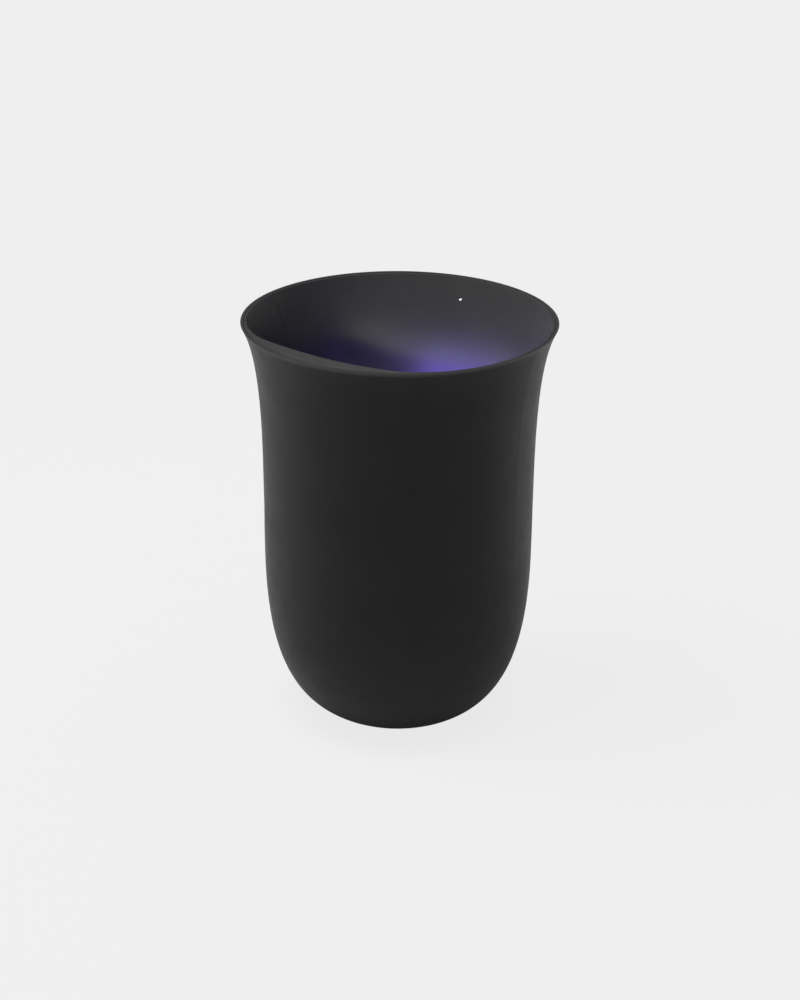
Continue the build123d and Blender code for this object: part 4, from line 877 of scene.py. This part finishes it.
def islands(name):
    """The points of each separate body in a CAD node, always in the same order."""
    shape = bmesh.new()
    shape.from_mesh(nodes[name].data)
    bmesh.ops.remove_doubles(shape, verts=shape.verts, dist=SAME_POINT)
    seen, found = set(), []
    for start in shape.verts:
        if start in seen:
            continue
        seen.add(start)
        group = [start]
        for vert in group:  # the list grows while it is walked
            near = [edge.other_vert(vert) for edge in vert.link_edges]
            fresh = [other for other in near if other not in seen]
            seen.update(fresh)
            group += fresh
        found.append([vert.co.copy() for vert in group])
    shape.free()
    return found


def across(axis):
    first = axis.orthogonal().normalized()
    return first, axis.cross(first)


def screw_place(points, axis, head_height):
    """Where a screw's head meets its shaft."""
    middle = Vector()
    for way in across(axis):
        reach = [p.dot(way) for p in points]
        middle += way * ((min(reach) + max(reach)) / 2)
    return middle + axis * (min(p.dot(axis) for p in points) + head_height)


print("board screws found:", len(islands("board_screws")))

# %% [markdown]
# The charging wall leans with the phone and the lamp's wall leans a little the other way, so their
# screws face along the walls' normals. The rest stand upright, apart from those at the seam, which
# join the front half of the liner to the rear half.

# %% Replace the CAD screws
PHONE_LEAN = radians(15.0)
LAMP_LEAN = radians(5.99)
UPWARD = Vector((0, 0, 1))
TO_REAR = Vector((0, 1, 0))
REAR_NORMAL = Vector((0, cos(PHONE_LEAN), -sin(PHONE_LEAN)))
FRONT_NORMAL = Vector((0, -cos(LAMP_LEAN), -sin(LAMP_LEAN)))
SCREW_GROUPS = {
    "cover_screws": ({**FINE, "Length": 0.0023}, UPWARD),
    "chassis_screws": (LONG, UPWARD),
    "board_screws": (SMALL, UPWARD),
    "liner_screws": ({**SMALL, "Length": 0.008}, UPWARD),
    "status_screws": (FINE, UPWARD),
    "seam_screws": (SMALL, TO_REAR),
    "lamp_screws": (SMALL, -FRONT_NORMAL),
    "coil_screws": (FINE, -REAR_NORMAL),
}
for name, (sizes, axis) in SCREW_GROUPS.items():
    places = [(screw_place(points, axis, sizes["Head height"]), axis) for points in islands(name)]
    screws = grow("threaded_" + name, pan_head_screw, places, screw_zinc, sizes)
    settle(screws, "screw_steel", name)

# %% [markdown]
# ## Springs under the rest
# Two compression springs lift the rest. Their wire is cold-wound, and the end turns lie almost
# flat, so that a spring stands square in its well. The centre line is a spiral with a steady rise,
# and a second rule presses its first and last turns together. Each spring's foot stands on the
# floor of its well.

# %% Springs
SPRING_SIZES = {
    "Wire": 0.00025, "Coil": 0.0025, "Height": 0.00974, "Turns": 5.5, "End share": 0.14,
}
SPRING_STEPS = 40  # to a turn
WIRE_SIDES = 12
OPEN_RISE = 0.9  # share of the height that the open turns climb


def spring_tree():
    tree, given = new_tree("compression_spring", SPRING_SIZES)
    radii = {"Start Radius": given["Coil"], "End Radius": given["Coil"]}
    inputs = {"Resolution": SPRING_STEPS, "Rotations": given["Turns"], "Height": given["Height"]}
    spiral = put(tree, "GeometryNodeCurveSpiral", {**inputs, **radii}).outputs[0]
    x, y, z = position(tree)
    along = calc(tree, "DIVIDE", z, given["Height"])
    open_share = calc(tree, "SUBTRACT", 1.0, times(tree, given["End share"], 2.0))
    active = calc(tree, "DIVIDE", calc(tree, "SUBTRACT", along, given["End share"]), open_share)
    active = put(tree, "ShaderNodeClamp", {"Value": active}).outputs[0]
    rise = calc(tree, "ADD", times(tree, active, OPEN_RISE), times(tree, along, 1 - OPEN_RISE))
    wound_place = vector(tree, x, y, times(tree, rise, given["Height"]))
    inputs = {"Geometry": spiral, "Position": wound_place}
    wound = put(tree, "GeometryNodeSetPosition", inputs).outputs[0]
    body = swept(tree, wound, round_profile(tree, WIRE_SIDES, given["Wire"]))
    return finish_tree(tree, given, shifted(tree, body, z=given["Wire"]))


compression_spring = spring_tree()
for name in ("rest_spring_left", "rest_spring_right"):
    low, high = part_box(name)
    seat = Vector(((low[0] + high[0]) / 2, (low[1] + high[1]) / 2, low[2]))
    spring = grow("wound_" + name, compression_spring, [(seat, UPWARD)], spring_steel, {})
    settle(spring, "spring_steel", name)
    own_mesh(spring)

# %% [markdown]
# ## Charging coil
# The coil is two strands of litz wire, wound side by side in a flat spiral and bonded to the
# ferrite. Litz is a bundle of thin enamelled wires twisted together, so its section has lobes that
# turn as they run. A star-shaped profile is swept along the spiral, and a tilt that grows with the
# length gives the twist.

# %% Charging coil
COIL_SIZES = {
    "Inner": 0.0105, "Outer": 0.0215, "Turns": 5.0, "Lobe": 0.00042, "Side": 0.00095, "Twist": 90.0,
}
COIL_STEPS = 90  # to a turn
LOBES = 7
LOBE_VALLEY = 0.86  # share of the lobes' radius


def strand(tree, given, share):
    """One strand, beside the middle of the winding by a share of the strands' distance."""
    aside = times(tree, given["Side"], share)
    inputs = {
        "Resolution": COIL_STEPS, "Rotations": given["Turns"], "Height": 0.0,
        "Start Radius": calc(tree, "ADD", given["Inner"], aside),
        "End Radius": calc(tree, "ADD", given["Outer"], aside),
    }
    spiral = put(tree, "GeometryNodeCurveSpiral", inputs).outputs[0]
    index = tree.nodes.new("GeometryNodeInputIndex").outputs[0]
    tilt = calc(tree, "DIVIDE", times(tree, index, given["Twist"]), 360.0)
    wound = put(tree, "GeometryNodeSetCurveTilt", {"Curve": spiral, "Tilt": tilt}).outputs[0]
    valley = times(tree, given["Lobe"], LOBE_VALLEY)
    inputs = {"Points": LOBES, "Inner Radius": valley, "Outer Radius": given["Lobe"]}
    return swept(tree, wound, put(tree, "GeometryNodeCurveStar", inputs).outputs[0])


def coil_tree():
    tree, given = new_tree("litz_spiral", COIL_SIZES)
    pair = joined(tree, *[strand(tree, given, share) for share in (-0.5, 0.5)])
    return finish_tree(tree, given, pair)


coil_low, coil_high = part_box("charging_coil")
coil_middle = (Vector(coil_low) + Vector(coil_high)) / 2
coil = grow("wound_coil", coil_tree(), [(coil_middle, REAR_NORMAL)], coil_copper, {})
settle(coil, "coil_copper", "charging_coil")

# %% [markdown]
# ## Chips and small parts on the main board
# A chip in this kind of case has gull-wing pins: each comes out of the side, steps down and lies
# flat on its pad. One pin is drawn from three strips, a row is made on a line, and four rows stand
# round the case.

# %% One pin
PIN_SIZES = {
    "Case": 0.007, "Pitch": 0.0005, "Pins": 11, "Reach": 0.0009, "Width": 0.00022, "Rise": 0.0004,
}
PIN_GAUGE = 0.00010


def gull_wing(tree, given):
    half_reach = times(tree, given["Reach"], 0.5)
    quarter = times(tree, given["Reach"], 0.25)
    flat = vector(tree, half_reach, given["Width"], PIN_GAUGE)
    riser = vector(tree, PIN_GAUGE, given["Width"], given["Rise"])
    parts = []
    for size, x, z in (
        (flat, times(tree, quarter, 3.0), PIN_GAUGE / 2),
        (riser, half_reach, times(tree, given["Rise"], 0.5)),
        (flat, quarter, given["Rise"]),
    ):
        strip = put(tree, "GeometryNodeMeshCube", {"Size": size}).outputs["Mesh"]
        parts.append(shifted(tree, strip, x=x, z=z))
    return joined(tree, *parts)


print("pins on a side:", PIN_SIZES["Pins"])


# %% Rows of pins
def pins_tree():
    tree, given = new_tree("gull_wing_pins", PIN_SIZES)
    row_length = times(tree, calc(tree, "SUBTRACT", given["Pins"], 1.0), given["Pitch"])
    start = vector(tree, y=times(tree, row_length, -0.5))
    step = vector(tree, y=given["Pitch"])
    inputs = {"Count": given["Pins"], "Start Location": start, "Offset": step}
    line = put(tree, "GeometryNodeMeshLine", inputs).outputs[0]
    inputs = {"Points": line, "Instance": gull_wing(tree, given)}
    row = put(tree, "GeometryNodeInstanceOnPoints", inputs).outputs[0]
    row = shifted(tree, row, x=times(tree, given["Case"], 0.5))
    rows = []
    for quarter_turn in range(4):
        inputs = {"Geometry": row, "Rotation": vector(tree, z=radians(90 * quarter_turn))}
        rows.append(put(tree, "GeometryNodeTransform", inputs).outputs[0])
    return finish_tree(tree, given, joined(tree, *rows))


def standing_on_board(name):
    low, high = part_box(name)
    return Vector(((low[0] + high[0]) / 2, (low[1] + high[1]) / 2, low[2]))


pin_places = [(standing_on_board(name), UPWARD) for name in ("charger_chip", "control_chip")]
pins = grow("chip_pins", pins_tree(), pin_places, solder_tin, {})
settle(pins, "can_aluminium")

# %% [markdown]
# The small resistors and capacitors are ceramic chips with a tinned cap at each end. They stand in
# rows between the bigger parts. A block's corners are drawn in by the fourth power of their
# distance from its middle, as edges are broken in firing, and one tree makes body and caps.

# %% A block with worn corners
CHIP_PART = {"Length": 0.0010, "Width": 0.0008, "Height": 0.0005}
CORNER_ROUND = 0.12


def block_tree():
    tree, given = new_tree("chip_block", {**CHIP_PART, "Round": CORNER_ROUND})
    size = vector(tree, given["Length"], given["Width"], given["Height"])
    inputs = {"Size": size, "Vertices X": 4, "Vertices Y": 4, "Vertices Z": 3}
    block = put(tree, "GeometryNodeMeshCube", inputs).outputs["Mesh"]
    place = tree.nodes.new("GeometryNodeInputPosition").outputs[0]
    even = put(tree, "ShaderNodeVectorMath", {0: place, 1: size}, operation="DIVIDE").outputs[0]
    reach = put(tree, "ShaderNodeVectorMath", {0: even}, operation="LENGTH").outputs["Value"]
    pull = times(tree, calc(tree, "POWER", reach, 4), given["Round"])
    inputs = {0: place, "Scale": calc(tree, "SUBTRACT", 1.0, pull)}
    softer = put(tree, "ShaderNodeVectorMath", inputs, operation="SCALE").outputs[0]
    inputs = {"Geometry": block, "Position": softer}
    worn = put(tree, "GeometryNodeSetPosition", inputs).outputs[0]
    return finish_tree(tree, given, shifted(tree, worn, z=times(tree, given["Height"], 0.5)))


chip_block = block_tree()
print("block tree nodes:", len(chip_block.nodes))

# %% Rows of chip parts
CHIP_CAP = {"Length": 0.0003, "Width": 0.00082, "Height": 0.00052}
CAP_OFFSET = 0.00065
SOLDER_GAP = 0.00003
PART_STEP = 0.0024
# first part's x and y, and how many stand in the row
PART_ROWS = (
    (-0.0200, 0.012, 6), (-0.0200, 0.016, 6), (0.0150, 0.012, 5),
    (0.0150, 0.020, 5), (-0.0035, 0.020, 4), (-0.0220, -0.008, 6),
)

part_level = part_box("main_board")[1][2] + SOLDER_GAP
part_places = [
    Vector((x + number * PART_STEP, y, part_level))
    for x, y, count in PART_ROWS for number in range(count)
]
cap_places = [
    place + Vector((side * CAP_OFFSET, 0, 0)) for place in part_places for side in (-1, 1)
]
for name, places, finish, sizes, slot in (
    ("chip_part_bodies", part_places, chip_ceramic, CHIP_PART, "ferrite_grey"),
    ("chip_part_caps", cap_places, solder_tin, CHIP_CAP, "can_aluminium"),
):
    settle(grow(name, chip_block, [(place, UPWARD) for place in places], finish, sizes), slot)

# %% [markdown]
# ## Emitters
# Each emitter is a white ceramic package with a quartz dome over a chip that glows. The package is
# a square tile whose corners are drawn in a little by firing, and the dome is a ball pressed flat
# and cut off by the tile. Package and dome are two meshes, because their finishes differ.

# %% Emitters
PACKAGE = {"Length": 0.0035, "Width": 0.0035, "Height": 0.0006, "Round": 0.04}
DOME_SIZES = {"Radius": 0.00135, "Flat": 0.44, "Lift": PACKAGE["Height"]}


def dome_tree():
    tree, given = new_tree("emitter_dome", DOME_SIZES)
    inputs = {"Segments": 40, "Rings": 24, "Radius": given["Radius"]}
    ball = put(tree, "GeometryNodeMeshUVSphere", inputs).outputs["Mesh"]
    inputs = {"Geometry": ball, "Scale": vector(tree, 1.0, 1.0, given["Flat"])}
    pressed = put(tree, "GeometryNodeTransform", inputs).outputs[0]
    return finish_tree(tree, given, shifted(tree, pressed, z=given["Lift"]))


emitter_sets = sorted(islands("lamp_emitters"), key=lambda points: points[0].z)
print("CAD emitters:", len(emitter_sets))
emitter_places = []
for points in emitter_sets:
    middle = sum(points, Vector()) / len(points)
    back = max(p.dot(FRONT_NORMAL) for p in points)
    place = middle + FRONT_NORMAL * (back - middle.dot(FRONT_NORMAL))
    emitter_places.append((place, -FRONT_NORMAL))
packages = grow("emitter_packages", chip_block, emitter_places, emitter_ceramic, PACKAGE)
settle(packages, "emitter_ceramic", "lamp_emitters")
domes = grow("emitter_domes", dome_tree(), emitter_places, emitter_glow, {})
settle(domes, "window_quartz", "lamp_emitters")
